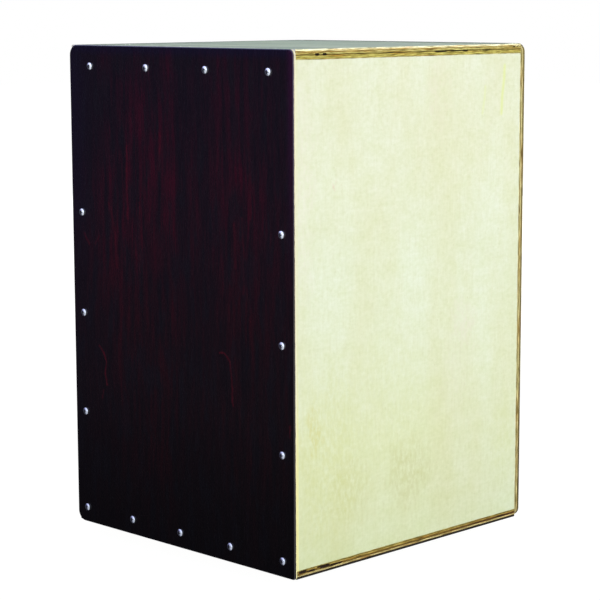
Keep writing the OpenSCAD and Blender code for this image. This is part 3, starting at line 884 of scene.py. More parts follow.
def steel(name, colour, rough, dirt, scratch=1.0, low_painted_shade=0.0):
    """Bright plate with light scratches, cloudy patches and dull spots, with painted shade that
    darkens it low down.
    """
    mat = Mat(name)
    cloud = mat.solid_noise(0.5, 0.5, 0.5, detail=3.0, rough=0.6)
    spot = mat.solid_noise(2.1, 2.1, 2.1, rough=0.6).ease(0.60, 0.78)
    scratches = mat.solid_noise(9.0, 1.3, 2.2, detail=3.0, rough=0.7, distort=0.8)
    cloudy = tuple(c * 0.62 for c in colour)
    spotted = tuple(c * f for c, f in zip(colour, (0.55, 0.50, 0.42)))
    skin = mat.mix(cloud.ease(0.35, 0.7, high=0.45 * dirt), colour, cloudy)
    skin = mat.mix(spot * (0.5 * dirt), skin, spotted)
    rough = cloud.line(0.3, 0.7, low=rough, high=rough + 0.14) + spot * 0.15
    if low_painted_shade:
        # painted shade: darker and bluer towards the bottom of the box
        skin = mat.tint(skin, (0.40, 0.42, 0.52), mat.z.line(400.0, 20.0, high=low_painted_shade))
    normal = mat.bump(scratches, depth=0.012 * scratch, strength=0.5)
    return mat.bsdf(skin, rough, normal, Metallic=1.0)


def recess_steel():
    """The floor and walls of a driver recess: the same metal, painted dark as shade, with mottled
    patches.
    """
    mat = Mat("plated_steel_recess")
    dirt = mat.solid_noise(1.6, 1.6, 1.6, detail=3.0, rough=0.6)
    # painted shade: the recess is made much darker than the head
    colour = mat.mix(dirt.ease(0.35, 0.7), (0.045, 0.047, 0.055), (0.110, 0.115, 0.130))
    return mat.bsdf(colour, dirt.line(0.3, 0.7, low=0.38, high=0.6),
                    mat.bump(dirt, depth=0.02, strength=0.6), Metallic=0.6,
                    Specular_IOR_Level=0.2)


def brass():
    mat = Mat("brass_bush")
    dirt = mat.solid_noise(1.1, 1.1, 1.1, detail=3.0, rough=0.6)
    colour = mat.mix(dirt.ease(0.35, 0.7), (0.76, 0.53, 0.22), (0.50, 0.32, 0.12))
    return mat.bsdf(colour, dirt.line(0.3, 0.7, low=0.22, high=0.42),
                    mat.bump(dirt, depth=0.02, strength=0.5), Metallic=1.0)


def rubber():
    """Black rubber, dusty in patches and near the floor."""
    mat = Mat("rubber_foot")
    grain = mat.solid_noise(3.2, 3.2, 3.2, detail=3.0, rough=0.65)
    dust = mat.solid_noise(0.22, 0.22, 0.22, detail=3.0, rough=0.6)
    near_floor = mat.z.ease(2.2, 0.0)
    colour = mat.mix(dust.ease(0.45, 0.75, high=0.7), (0.018, 0.018, 0.019),
                     (0.050, 0.047, 0.043))
    colour = mat.mix(near_floor * 0.45, colour, (0.085, 0.078, 0.068))
    return mat.bsdf(colour, grain.line(0.3, 0.7, low=0.58, high=0.78),
                    mat.bump(grain, depth=0.06, strength=0.8), Specular_IOR_Level=0.35)


def nylon():
    mat = Mat("nylon_pad")
    cloud = mat.solid_noise(1.4, 1.4, 1.4, detail=3.0, rough=0.6)
    colour = mat.mix(cloud.ease(0.4, 0.7), (0.80, 0.79, 0.72), (0.64, 0.62, 0.54))
    return mat.bsdf(colour, cloud.line(0.3, 0.7, low=0.34, high=0.5),
                    mat.bump(cloud, depth=0.02, strength=0.5), Subsurface_Weight=0.12,
                    Subsurface_Radius=(0.002, 0.0018, 0.0014), Subsurface_Scale=1.0)


MAT = {
    "side_right": side_right_material(),
    "side_left": side_left_material(),
    "inner": raw_ply_material("birch_ply_inner_z", "z", seed=21.0),
    # spare: the inner face with its grain along x
    "inner_x": raw_ply_material("birch_ply_inner_x", "x", seed=27.0),
    "seat": seat_material(),
    "base": base_material(),
    "back": back_face_material(),
    "back_edge": back_edge_material(),
    "hole_edge": hole_edge_material(),
    "tapa": tapa_material(),
    "tapa_edge": tapa_edge_material(),
    "tapa_back": raw_ply_material("stained_veneer_back", "z", seed=33.0, tone=0.86),
    "pine_x": pine("pine_rail", "x", seed=1.0),
    "pine_z": pine("pine_stile", "z", seed=2.0),
    "pine_x2": pine("pine_rail_rear", "x", seed=3.4),
    "pine_z2": pine("pine_stile_rear", "z", seed=4.7),
    "beech_x": beech("beech_bar", "x", fleck_scale=2.0),
    "beech_z": beech("beech_block", "z", fleck_scale=3.0),
    "steel": steel("plated_steel_bright", (0.80, 0.85, 0.92), rough=0.24, dirt=0.45,
                   low_painted_shade=0.55),
    "steel_dull": steel("plated_steel_dull", (0.66, 0.66, 0.63), rough=0.30, dirt=0.7),
    "recess": recess_steel(),
    "spring": steel("spring_steel_wire", (0.74, 0.75, 0.76), rough=0.20, dirt=0.35, scratch=0.7),
    "plate": steel("spring_steel_plate", (0.70, 0.71, 0.70), rough=0.24, dirt=0.5),
    "brass": brass(),
    "rubber": rubber(),
    "nylon": nylon(),
}


# ---------------------------------------------------------------- plywood shell


def sunk_depth(layer, along, lines, waves, pits, width, depth):
    """How far an edge is sunk by its wavy glue lines and by its voids.

    Pits are (place on the layer axis, place along the edge, half height, half length, depth).
    """
    grooves = np.zeros(np.broadcast(layer, along).shape)
    for line, wave in zip(lines, waves):
        grooves += depth * np.exp(-(((layer - line - 0.10 * wave(along)) / width) ** 2))
    voids = np.zeros_like(grooves)
    for pit_layer, pit_along, half_high, half_long, pit_depth in pits:
        high = np.abs((layer - pit_layer) / half_high) ** 3
        voids = np.maximum(
            voids, pit_depth * np.exp(-high - np.abs((along - pit_along) / half_long) ** 4))
    return np.maximum(grooves, voids)


def rounded_slab(name, inner_z, outer_z, half, lines, right_pits, left_pits, seed, material):
    """Seat or base: a slab whose two long outer edges are rounded, with ply layers showing."""
    seat_low, seat_high = mm_box("seat_panel")
    front, rear = seat_low[1], seat_high[1]
    radius = LONG_EDGE_RADIUS
    up = 1.0 if outer_z > inner_z else -1.0
    turn_z = outer_z - up * radius
    flat = np.linspace(inner_z, turn_z, int(abs(turn_z - inner_z) / 0.15), endpoint=False)
    turn = np.linspace(0.0, math.pi / 2, 9)
    edge_x = np.concatenate([np.full(len(flat), half), (half - radius) + radius * np.cos(turn)])
    edge_z = np.concatenate([flat, turn_z + up * radius * np.sin(turn)])
    edge_nx = np.concatenate([np.ones(len(flat)), np.cos(turn)])
    edge_nz = np.concatenate([np.zeros(len(flat)), up * np.sin(turn)])
    outer_x = np.linspace(half - radius, -(half - radius), 16)[1:-1]
    inner_x = np.linspace(-edge_x[0], edge_x[0], 12)[1:-1]
    n_edge, n_outer, n_inner = len(edge_x), len(outer_x), len(inner_x)

    # once round the section: right edge, outer face, left edge, inner face
    x = np.concatenate([edge_x, outer_x, -edge_x[::-1], inner_x])
    z = np.concatenate([edge_z, np.full(n_outer, outer_z), edge_z[::-1],
                        np.full(n_inner, inner_z)])
    normal_x = np.concatenate([edge_nx, np.zeros(n_outer), -edge_nx[::-1], np.zeros(n_inner)])
    normal_z = np.concatenate([edge_nz, np.full(n_outer, up), edge_nz[::-1],
                               np.full(n_inner, -up)])
    side = np.concatenate([np.ones(n_edge), np.zeros(n_outer), -np.ones(n_edge),
                           np.zeros(n_inner)])
    right_waves = [random_curve(seed + i, 330, 34) for i in range(len(lines))]
    left_waves = [random_curve(seed + 50 + i, 330, 34) for i in range(len(lines))]
    fuzz = [random_curve(seed + 100 + i, 330, 2.4) for i in range(8)]
    # a fine eased corner where the panel meets the side panel
    corner = np.zeros(len(x))
    corner[[0, 2 * n_edge + n_outer - 1]] = PANEL_EASE

    loops, all_sunk = [], []
    for y in np.linspace(front, rear, 290):
        along = y - front
        sunk = np.zeros(len(x))
        fuzz_here = np.array([curve(along) for curve in fuzz])
        for sign, waves, pits in ((1, right_waves, right_pits), (-1, left_waves, left_pits)):
            on = side == sign
            height = z[on]
            layer = np.clip(((height - min(inner_z, outer_z)) * 0.8).astype(int), 0, 7)
            grooves_and_voids = sunk_depth(height, along, lines, waves, pits, width=0.16, depth=0.13)
            sunk[on] = grooves_and_voids + np.abs(fuzz_here[layer] * 0.018)
        total = sunk + corner
        loops.append(np.stack([x - normal_x * total, np.full(len(x), y), z - normal_z * total], 1))
        all_sunk.append(sunk)
    faces = tube(len(loops), len(x))
    smooth = np.ones(len(faces), bool)
    smooth[-2:] = False
    return outward(make(name, np.vstack(loops), faces, [material], smooth=smooth, angle=40.0,
                        sunk=np.concatenate(all_sunk)))


def build_seat(half, rng):
    low, high = mm_box("seat_panel")
    right_pits = [
        (474.9, 27.0, 1.05, 2.5, 1.8), (474.9, 36.4, 1.05, 2.5, 1.8), (474.7, 121.0, 0.36, 6.0, 0.9),
        (474.6, 190.5, 0.75, 9.0, 1.6), (474.6, 211.5, 0.62, 8.0, 1.4),
        (474.6, 225.0, 0.72, 4.0, 1.6), (474.55, 255.5, 0.55, 6.5, 1.2),
        (477.3, 244.0, 0.4, 6.0, 0.8), (477.2, 297.5, 0.65, 1.6, 1.1),
        (477.3, 303.0, 0.55, 1.3, 1.0), (473.1, 60.0, 0.25, 8.0, 0.5),
    ]
    left_pits = [
        (474.65, 14 + 46 * k + rng.uniform(-12, 12), 0.44, rng.uniform(1.5, 7),
         rng.uniform(0.9, 1.5))
        for k in range(6)
    ]
    lines = [471.15, 473.05, 474.4, 475.15, 477.05]
    seat = rounded_slab("seat_ply", low[2], high[2], half, lines, right_pits, left_pits, seed=11,
                        material=MAT["seat"])
    place(seat, "birch_ply", "seat_panel")


def build_base(half, rng):
    low, high = mm_box("base_panel")
    right_pits = [
        (15.9, 7.5, 1.35, 4.6, 1.7), (15.4, 36.0, 1.40, 6.0, 1.8), (16.4, 30.0, 0.70, 5.0, 1.2),
        (14.7, 50.0, 0.90, 8.5, 1.5), (14.9, 18.0, 0.85, 5.5, 1.4), (14.4, 150.0, 0.35, 9.0, 0.8),
        (15.0, 216.0, 0.3, 8.0, 0.6), (14.9, 252.0, 0.34, 12.0, 0.6),
        (14.9, 288.0, 0.50, 13.0, 0.8),
    ]
    left_pits = [
        (float(rng.choice([11.2, 14.6, 15.6])), 20 + 46 * k + rng.uniform(-14, 14), 0.45,
         rng.uniform(2, 9), rng.uniform(0.8, 1.4))
        for k in range(6)
    ]
    lines = [12.4, 13.95, 15.6, 17.1]
    base = rounded_slab("base_ply", high[2], low[2], half, lines, right_pits, left_pits, seed=23,
                        material=MAT["base"])
    place(base, "birch_ply", "base_panel")


def build_side(side, label, half):
    """A side panel: rings of 32 points stacked from bottom to top."""
    node = "side_panel_" + label
    low, high = mm_box(node)
    ease = PANEL_EASE
    front, rear = low[1], high[1]
    heights = [low[2], low[2] + ease, *np.linspace(low[2] + 0.8, BASE_TOP + 2.0, 3),
               *np.linspace(20.0, 470.0, 24)[1:], high[2] - ease, high[2]]
    points = []
    for z in heights:
        outer = half - (ease if z in (heights[0], heights[-1]) else 0.0)
        ring = [(SIDE_INNER + 0.2, front), (outer - ease, front), (outer - 0.06, front + 0.09),
                (outer, front + ease)]
        ring += [(outer, y) for y in np.linspace(front + 12, rear - 12, 11)]
        ring += [(outer, rear - ease), (outer - 0.06, rear - 0.09), (outer - ease, rear),
                 (SIDE_INNER + 0.2, rear), (SIDE_INNER, rear - 0.2)]
        ring += [(SIDE_INNER, y) for y in np.linspace(rear - 12, front + 12, 11)]
        ring += [(SIDE_INNER, front + 0.2)]
        points += [(side * x, y, z) for x, y in ring]
    count = len(ring)
    faces = tube(len(heights), count)
    # the rear edge and the inner face, from ring point 16 on, and both ends are raw
    which = [1 if face[0] % count >= 16 else 0 for face in faces[:-2]] + [1, 1]
    smooth = [True] * (len(faces) - 2) + [False, False]
    piece = make("side_ply_" + label, points, faces, [MAT["side_" + label], MAT["inner"]], which,
                 smooth, angle=20.0)
    place(outward(piece), "birch_ply", node)


def rounded_rect(half, bottom, top, radii, step, corner_steps=18):
    """Points and outward normals of an outline in (x, z), from the lower right going up.

    radii: lower left, lower right, upper right, upper left.
    """
    points, normals = [], []

    def straight(start, end, normal):
        count = max(2, int(round(math.dist(start, end) / step)))
        for i in range(count):
            part = i / count
            points.append((start[0] + (end[0] - start[0]) * part,
                           start[1] + (end[1] - start[1]) * part))
            normals.append(normal)

    def arc(x, z, radius, first):
        for i in range(corner_steps):
            angle = first + (math.pi / 2) * i / corner_steps
            points.append((x + radius * math.cos(angle), z + radius * math.sin(angle)))
            normals.append((math.cos(angle), math.sin(angle)))

    low_left, low_right, up_right, up_left = radii
    straight((half, bottom + low_right), (half, top - up_right), (1, 0))
    arc(half - up_right, top - up_right, up_right, 0)
    straight((half - up_right, top), (-half + up_left, top), (0, 1))
    arc(-half + up_left, top - up_left, up_left, math.pi / 2)
    straight((-half, top - up_left), (-half, bottom + low_left), (-1, 0))
    arc(-half + low_left, bottom + low_left, low_left, math.pi)
    straight((-half + low_left, bottom), (half - low_right, bottom), (0, -1))
    arc(half - low_right, bottom + low_right, low_right, 1.5 * math.pi)
    return np.array(points), np.array(normals)


def circle(x, z, radius, count):
    """Points of a hole and their normals, which face its middle."""
    angle = -2 * np.pi * np.arange(count) / count
    points = np.stack([x + radius * np.cos(angle), z + radius * np.sin(angle)], 1)
    return points, -np.stack([np.cos(angle), np.sin(angle)], 1)


def grid_points(low, high, loops, grid):
    """Points spread over a plate's face, clear of its outlines and outside its holes."""
    kept = []
    for x in np.arange(low[0] + grid * 0.7, high[0] - grid * 0.4, grid):
        for z in np.arange(low[2] + grid * 0.7, high[2] - grid * 0.4, grid):
            clear = all(
                np.min(np.hypot(pts[:, 0] - x, pts[:, 1] - z)) >= grid * 0.28 for pts in loops)
            for pts in loops[1:]:
                centre = pts.mean(0)
                if math.hypot(x - centre[0], z - centre[1]) < np.hypot(*(pts[0] - centre)) + 0.2:
                    clear = False
            if clear:
                kept.append((x, z))
    return kept


def plate(name, outlines, materials, front_material, back_material):
    """A flat plate in the xz plane with an outer outline and round holes.

    outlines are ((points, normals), section, wall material); a section is a function of arc
    length that gives the y of each row, its inset and its sunk depth, from front to back.
    """
    points, faces, which, sunk = [], [], [], []
    first, last = [], []
    loops = [outline for (outline, _), _, _ in outlines]
    for (loop, normals), section, wall_material in outlines:
        base, count = len(points), len(loop)
        lengths = np.linalg.norm(np.roll(loop, -1, 0) - loop, axis=1)
        ys, inset, depth = section(np.concatenate([[0], np.cumsum(lengths)[:-1]]))
        for j, y in enumerate(ys):
            row = loop - normals * (inset[j] + depth[j])[:, None]
            points += [(x, y, z) for x, z in row]
            sunk += list(depth[j])
        quads = walls(len(ys), count)
        faces += [tuple(base + k for k in quad) for quad in quads]
        which += [wall_material] * len(quads)
        first.append(list(range(base, base + count)))
        last.append(list(range(base + (len(ys) - 1) * count, base + len(ys) * count)))
    smooth = [True] * len(faces)
    spread = grid_points(np.min(points, 0), np.max(points, 0), loops, grid=24.0)

    for rows, material, turned in ((first, front_material, False), (last, back_material, True)):
        ids = [i for row in rows for i in row]
        flat = [Vector((points[i][0], points[i][2])) for i in ids]
        edges, rims, start = [], [], 0
        for hole, row in enumerate(rows):
            count = len(row)
            edges += [(start + i, start + (i + 1) % count) for i in range(count)]
            if hole:
                centre = np.mean([flat[start + i] for i in range(count)], 0)
                rims.append((centre[0], centre[1], (flat[start] - Vector(centre)).length))
            start += count
        y = points[ids[0]][1]
        cut = geometry.delaunay_2d_cdt(flat + [Vector(p) for p in spread], edges, [], 1, 1e-7, True)
        cut_points, _, cut_faces, origins, _, _ = cut
        index = []
        for point, origin in zip(cut_points, origins):
            known = [k for k in origin if k < len(ids)]
            if known:
                index.append(ids[known[0]])
            else:
                points.append((point[0], y, point[1]))
                sunk.append(0.0)
                index.append(len(points) - 1)
        for face in cut_faces:
            x, z = (sum(cut_points[i][axis] for i in face) / len(face) for axis in (0, 1))
            if any(math.hypot(x - rx, z - rz) < radius * 0.999 for rx, rz, radius in rims):
                continue
            face = [index[i] for i in face]
            a, b, c = (np.array(points[i]) for i in face[:3])
            if (np.cross(b - a, c - a)[1] > 0) != turned:
                face = face[::-1]
            faces.append(face)
            which.append(material)
            smooth.append(False)
    return outward(make(name, points, faces, materials, which, smooth, angle=38.0, sunk=sunk))


def edge_section(front, rear, front_ease, rear_ease, seed, rows, lines=(), pits=(),
                 length=1600.0):
    """A section from front to rear with eased arrises, sunk glue lines and voids."""
    waves = [random_curve(seed + i, length + 20, 30) for i in range(len(lines))]
    fuzz = [random_curve(seed + 70 + i, length + 20, 2.6) for i in range(6)]
    steps = 5  # rows on each arris

    def section(along):
        ys, inset = [], []
        for i in range(steps):
            angle = math.pi / 2 * i / steps
            ys.append(front + front_ease * (1 - math.cos(angle)))
            inset.append(front_ease * (1 - math.sin(angle)))
        ys += list(np.linspace(front + front_ease, rear - rear_ease, rows))
        inset += [0.0] * rows
        for i in range(steps):
            angle = math.pi / 2 * (i + 1) / steps
            ys.append(rear - rear_ease * (1 - math.sin(angle)))
            inset.append(rear_ease * (1 - math.cos(angle)))
        sunk = np.zeros((len(ys), len(along)))
        for j in range(steps, len(ys) - steps):
            grooves_and_voids = sunk_depth(ys[j], along, lines, waves, pits, width=0.15, depth=0.11)
            layer = int(abs(ys[j] - front) / 1.4) % 6
            sunk[j] = grooves_and_voids + np.abs(fuzz[layer](along)) * 0.02
        return ys, inset, sunk

    return section


def build_back(half):
    low, high = mm_box("back_panel")
    front, rear = low[1], high[1]
    lines = [front + 1.15, front + 2.35, front + 4.15, front + 5.85]
    # depth behind the front face, place along the edge, half height, half length, depth
    rim_pits = [(1.7, 300.0, 0.5, 5.0, 1.0), (5.2, 120.0, 0.5, 7.0, 0.9), (5.3, 22.0, 0.55, 9.0, 1.1),
                (1.6, 610.0, 0.5, 6.0, 1.2), (5.3, 1010.0, 0.5, 5.0, 1.2),
                (1.7, 1330.0, 0.5, 4.0, 1.1)]
    hole_pits = [(1.7, 120.0, 0.45, 4.0, 0.9), (3.4, 260.0, 0.4, 3.0, 0.7)]
    rim_pits, hole_pits = (
        [(front + depth, *rest) for depth, *rest in pits] for pits in (rim_pits, hole_pits))
    rim = edge_section(front, rear, PANEL_EASE, 0.9, seed=31, rows=26, lines=lines, pits=rim_pits)
    hole = edge_section(front, rear, 0.6, 1.8, seed=47, rows=22, lines=lines, pits=hole_pits,
                        length=380)
    outline = rounded_rect(half, low[2], high[2], radii=[8.5] * 4, step=2.2)
    hole_outline = circle(0.0, HOLE_HEIGHT, HOLE_RADIUS, 220)
    materials = [MAT["back"], MAT["back_edge"], MAT["hole_edge"], MAT["inner"]]
    back = plate("back_ply", [(outline, rim, 1), (hole_outline, hole, 2)], materials,
                 front_material=3, back_material=0)
    place(back, "birch_ply", "back_panel")


TAPA_SCREWS = ("tapa_screws_top", "tapa_screws_bottom", "tapa_screws_left", "tapa_screws_right")


def build_tapa(half):
    low, high = mm_box("tapa")
    front, rear = low[1], high[1]
    lines = [front + 1.25, front + 2.05]
    rim = edge_section(front, rear, 0.9, 0.15, seed=61, rows=12, lines=lines)
    hole = edge_section(front, rear, 0.2, 0.1, seed=61, rows=3, length=20)
    outlines = [(rounded_rect(half, low[2], high[2], [10.0, 3.0, 5.5, 10.0], step=4.0), rim, 1)]
    for node in TAPA_SCREWS:
        for start, end in islands(node):
            x, z = (start[0] + end[0]) / 2, (start[2] + end[2]) / 2
            outlines.append((circle(x, z, 2.0, 24), hole, 2))
    tapa = plate("tapa_plate", outlines, [MAT["tapa"], MAT["tapa_edge"], MAT["tapa_back"]],
                 front_material=0, back_material=2)
    place(tapa, "stained_veneer", "tapa")


def build_shell():
    half = mm_box("tapa")[1][0]
    rng = np.random.default_rng(3)
    build_seat(half, rng)
    build_base(half, rng)
    build_side(1, "right", half)
    build_side(-1, "left", half)
    build_back(half)
    build_tapa(half)


# ---------------------------------------------------------------- fasteners


def plus_loop(reach, width, z):
    """A cross-shaped outline."""
    corners = [(width, reach), (-width, reach), (-width, width), (-reach, width),
               (-reach, -width), (-width, -width), (-width, -reach), (width, -reach),
               (width, -width), (reach, -width), (reach, width), (width, width)]
    return [(x, y, z) for x, y in corners]


def screw_head(radius, height):
    """A pan head on +Z with its seat at z = 0 and its cross recess cut in.

    Gives points, faces and materials (0 skin, 1 recess).
    """
    dome = (radius * radius + (0.55 * height) ** 2) / (1.1 * height)
    profile = [(0, 0.0), (radius * 0.5, 0.0), (radius * 0.93, 0.0),
               (radius * 0.985, 0.05 * height), (radius, 0.13 * height), (radius, 0.30 * height),
               (radius * 0.995, 0.40 * height)]
    for part in (0.975, 0.93, 0.86, 0.77, 0.67, 0.56, 0.44, 0.31, 0.16):
        rise = math.sqrt(dome ** 2 - (radius * part) ** 2)
        profile.append((radius * part, height - dome + rise - 0.02 * height * (part > 0.95)))
    profile.append((0, height))
    materials = [MAT["steel"], MAT["recess"]]
    head = outward(make("tmp_head", *lathe(profile, 56), materials, angle=40))
    reach, width = radius * 0.52, radius * 0.155
    # the recess narrows as it goes down: part of the reach, of the width and of the height
    steps = ((1.04, 1.04, 1.25), (1, 1, 0.98), (0.80, 0.92, 0.46), (0.50, 0.80, 0.14))
    loops = [plus_loop(reach * a, width * b, height * c) for a, b, c in steps]
    faces = tube(len(loops), len(loops[0]))
    cutter = outward(make("tmp_cut", np.vstack(loops), faces, [MAT["recess"]] * 2,
                          [1] * len(faces), smooth=False))
    boolean = head.modifiers.new("b", "BOOLEAN")
    boolean.operation, boolean.object, boolean.solver = "DIFFERENCE", cutter, "EXACT"
    boolean.material_mode = "INDEX"
    depsgraph = bpy.context.evaluated_depsgraph_get()
    mesh = bpy.data.meshes.new_from_object(head.evaluated_get(depsgraph), depsgraph=depsgraph)
    points = np.array([tuple(vertex.co) for vertex in mesh.vertices]) / MM
    faces = [list(polygon.vertices) for polygon in mesh.polygons]
    top = sorted(point for point in profile if point[1] > 0.2 * height)
    top_radii, top_heights = zip(*top)
    which = []
    for polygon in mesh.polygons:
        x, y, z = np.array(tuple(polygon.center)) / MM
        out = math.hypot(x, y)
        surface = np.interp(out, top_radii, top_heights)
        on_dome = polygon.normal.z > 0.05 and z > surface - 0.06 * height
        which.append(0 if (on_dome or out > reach * 1.02 or z < 0.02) else 1)
    for piece in (head, cutter):
        bpy.data.objects.remove(piece)
    return points, faces, which


def thread(radius, core, length, pitch, tip, start):
    """A shank from z = 0 down to -length, threaded from start on, with a pointed tip."""
    segments, per_turn = 20, 7
    rows = int(length / pitch * per_turn) + 2
    points = []
    for j in range(rows + 1):
        z = length * j / rows
        for k in range(segments):
            angle = 2 * math.pi * k / segments
            phase = (z / pitch - angle / (2 * math.pi)) % 1.0
            ridge = max(0.0, 1.0 - abs(phase - 0.5) / 0.34) if z >= start else 0.0
            out = core + (radius - core) * ridge
            if z > length - tip:
                out *= max(0.08, (length - z) / tip) ** 0.8
            points.append((out * math.cos(angle), out * math.sin(angle), -z))
    faces = flip(walls(rows + 1, segments))
    faces.append(list(range(segments)))
    faces.append([rows * segments + k for k in range(segments)][::-1])
    return np.array(points), faces


HEADS = {}  # finished screw heads by rounded radius and height


def add_screw(soup, radius, head_height, seat, facing, turn, shank, pitch):
    """Adds a screw whose head sits at seat, points along facing and is turned by degrees."""
    key = (round(radius, 2), round(head_height, 2))
    if key not in HEADS:
        HEADS[key] = screw_head(radius, head_height)
    points, faces, which = HEADS[key]
    basis = Vector(facing).to_track_quat("Z", "Y").to_matrix()
    rotation = np.array(basis @ Matrix.Rotation(math.radians(turn), 3, "Z"))
    soup.add(points @ rotation.T + seat, faces, which)
    outer = radius * 0.5
    points, faces = thread(outer, outer * 0.70, shank, pitch, tip=min(3.2, shank * 0.25),
                           start=shank * 0.12)
    soup.add(points @ rotation.T + seat, faces)


def screws(node, facing, head_height, pitch, seed, material):
    """One piece with every screw of a CAD node. Without facing, heads point to the middle in x."""
    rng = np.random.default_rng(seed)
    soup = Soup()
    for low, high in islands(node):
        centre = (low + high) / 2
        if facing is None:
            toward = -np.sign(centre[0]) * np.array([1.0, 0, 0])
        else:
            toward = np.array(facing, float)
        axis = int(np.argmax(np.abs(toward)))
        radius = (high - low)[(axis + 1) % 3] / 2
        tip = centre.copy()
        tip[axis] = high[axis] if toward[axis] > 0 else low[axis]
        add_screw(soup, radius, head_height, tip - toward * head_height, toward,
                  rng.uniform(0, 90), (high - low)[axis] - head_height, pitch)
    place(soup.make(node + "_pan", [material, MAT["recess"]], angle=38.0), "plated_steel", node)


def build_screws():
    front = mm_box("tapa")[0][1]
    for seed, node in enumerate(TAPA_SCREWS, 1):
        screws(node, (0, -1, 0), front - mm_box(node)[0][1], pitch=1.35, seed=seed,
               material=MAT["steel"])
    screws("foot_screws", (0, 0, -1), 2.4, pitch=1.5, seed=5, material=MAT["steel_dull"])
    screws("snare_block_screws", None, 2.2, pitch=1.4, seed=6, material=MAT["steel_dull"])


# ---------------------------------------------------------------- feet


def foot_section(radius, top):
    """Closed (radius, height) section: bore, top bead, waist, rolled lower edge, recess below."""
    section = [(2.2, top), (radius - 0.5, top), (radius - 0.15, top - 0.12), (radius, top - 0.45),
               (radius, top - 1.5), (radius - 0.18, top - 1.9), (radius - 0.55, top - 2.15)]
    section += [(radius - 0.62 - 0.9 * t, top - 2.3 - (top - 4.3) * t)
                for t in np.linspace(0, 1, 5)]
    section += [(radius - 1.52 - 1.8 * (1 - math.cos(a)), 2.0 - 2.0 * math.sin(a))
                for a in np.linspace(0, math.pi / 2, 7)[1:]]
    section += [(7.6, 0.0), (6.9, 0.12), (6.35, 0.5), (6.1, 1.1), (6.0, 2.0), (6.0, 4.7),
                (5.8, 4.95), (5.5, 5.0), (2.35, 5.0), (2.2, 5.15)]
    return section


def build_feet():
    for node in ("foot_front_left", "foot_front_right", "foot_rear_left", "foot_rear_right"):
        low, high = mm_box(node)
        section = foot_section((high[0] - low[0]) / 2, high[2])
        points, faces = turned_ring(section, (low + high) / 2, 72)
        foot = make(node + "_moulded", points, faces, [MAT["rubber"]], angle=50)
        place(outward(foot), "rubber", node)


def build_washers():
    soup = Soup()
    for low, high in islands("foot_washers"):
        radius, under, top = (high[0] - low[0]) / 2, low[2], high[2]
        section = [(2.25, under + 0.12), (2.37, under), (radius - 0.22, under),
                   (radius - 0.06, under + 0.08), (radius, under + 0.25), (radius, top - 0.12),
                   (radius - 0.1, top), (2.37, top), (2.25, top - 0.12)]
        points, faces = turned_ring(section, (low + high) / 2, 56)
        soup.add(points, flip(faces))
    washers = soup.make("foot_washers_turned", [MAT["steel_dull"]], angle=38)
    place(outward(washers), "plated_steel", "foot_washers")


# ---------------------------------------------------------------- snare

SNARE_AT = np.array([0.0, -116.0, 350.0])  # middle of the snare bar
SNARE_SIDE = 62.0  # x of the middle of each set of wires
WIRE_COUNT, WIRE_PITCH = 12, 4
WIRE_OUT = 9.85  # distance of the wires from the bar's middle, towards the tapa
WIRE_START, WIRE_END = -4.9, 95.0  # along the wires
WIRE_RADIUS, COIL_RADIUS, COIL_PITCH = 0.19, 0.80, 1.28
WIRE_STRAIGHT = 7.2  # uncoiled end in the plate's fold
PLATE_FACE, PLATE_SCREW_SIDE = 9.0, 27.0


def snare_frame(points, lean):
    """From the bar's frame (-Y towards the tapa, +Z along the wires) to the box frame."""
    x, y, z = np.asarray(points, float).T
    cos, sin = math.cos(lean), math.sin(lean)
    return np.stack([x, y * cos - z * sin, y * sin + z * cos], 1) + SNARE_AT


def snare_lean():
    """The lean of the wires, up and towards the tapa, that best fits their CAD box."""
    low, high = mm_box("snare_wires_right")
    corners = [(0.0, -(WIRE_OUT + out), z)
               for z in (WIRE_START, WIRE_END) for out in (-COIL_RADIUS, COIL_RADIUS)]

    def misfit(degrees):
        _, y, z = snare_frame(corners, math.radians(degrees)).T
        return abs(y.min() - low[1]) + abs(z.max() - high[2]) + abs(y.max() - high[1])

    return math.radians(min(np.arange(10.0, 26.0, 0.02), key=misfit))


LEAN = snare_lean()


def coil(x, seed):
    """One snare wire: a straight end, then a tight coil with a cut tip."""
    rng = np.random.default_rng(seed)
    middle = COIL_RADIUS - WIRE_RADIUS
    coil_start = WIRE_START + WIRE_STRAIGHT
    path = [(0.0, 0.0, WIRE_START + WIRE_STRAIGHT * part) for part in np.linspace(0, 1, 5)]
    turns = (WIRE_END - 0.6 - coil_start) / COIL_PITCH
    steps = int(turns * 9)
    phase = rng.uniform(0, 2 * math.pi)
    for i in range(steps + 1):
        part = i / steps
        angle = phase + 2 * math.pi * turns * part
        grow = min(1.0, part * turns / 0.8, (1 - part) * turns / 0.5 + 0.35)
        path.append((middle * grow * math.cos(angle), middle * grow * math.sin(angle),
                     coil_start + turns * COIL_PITCH * part))
    path = np.array(path)
    sway = 0.05 * np.sin((path[:, 2] - WIRE_START) / 95.0 * math.pi) * rng.uniform(-1, 1)
    path[:, 0] += x + sway
    path[:, 1] -= WIRE_OUT

    # sweep a small five-sided ring along the path
    tangents = np.gradient(path, axis=0)
    tangents /= np.linalg.norm(tangents, axis=1)[:, None]
    sides = 5
    points = []
    across = None
    for point, tangent in zip(path, tangents):
        if across is None:
            across = np.cross(tangent, np.array([0.3, 0.9, 0.2]))
        else:
            across = across - tangent * np.dot(across, tangent)
        across /= np.linalg.norm(across)
        other = np.cross(tangent, across)
        for j in range(sides):
            angle = 2 * math.pi * j / sides
            offset = across * math.cos(angle) + other * math.sin(angle)
            points.append(point + WIRE_RADIUS * offset)
    return np.array(points), tube(len(path), sides)


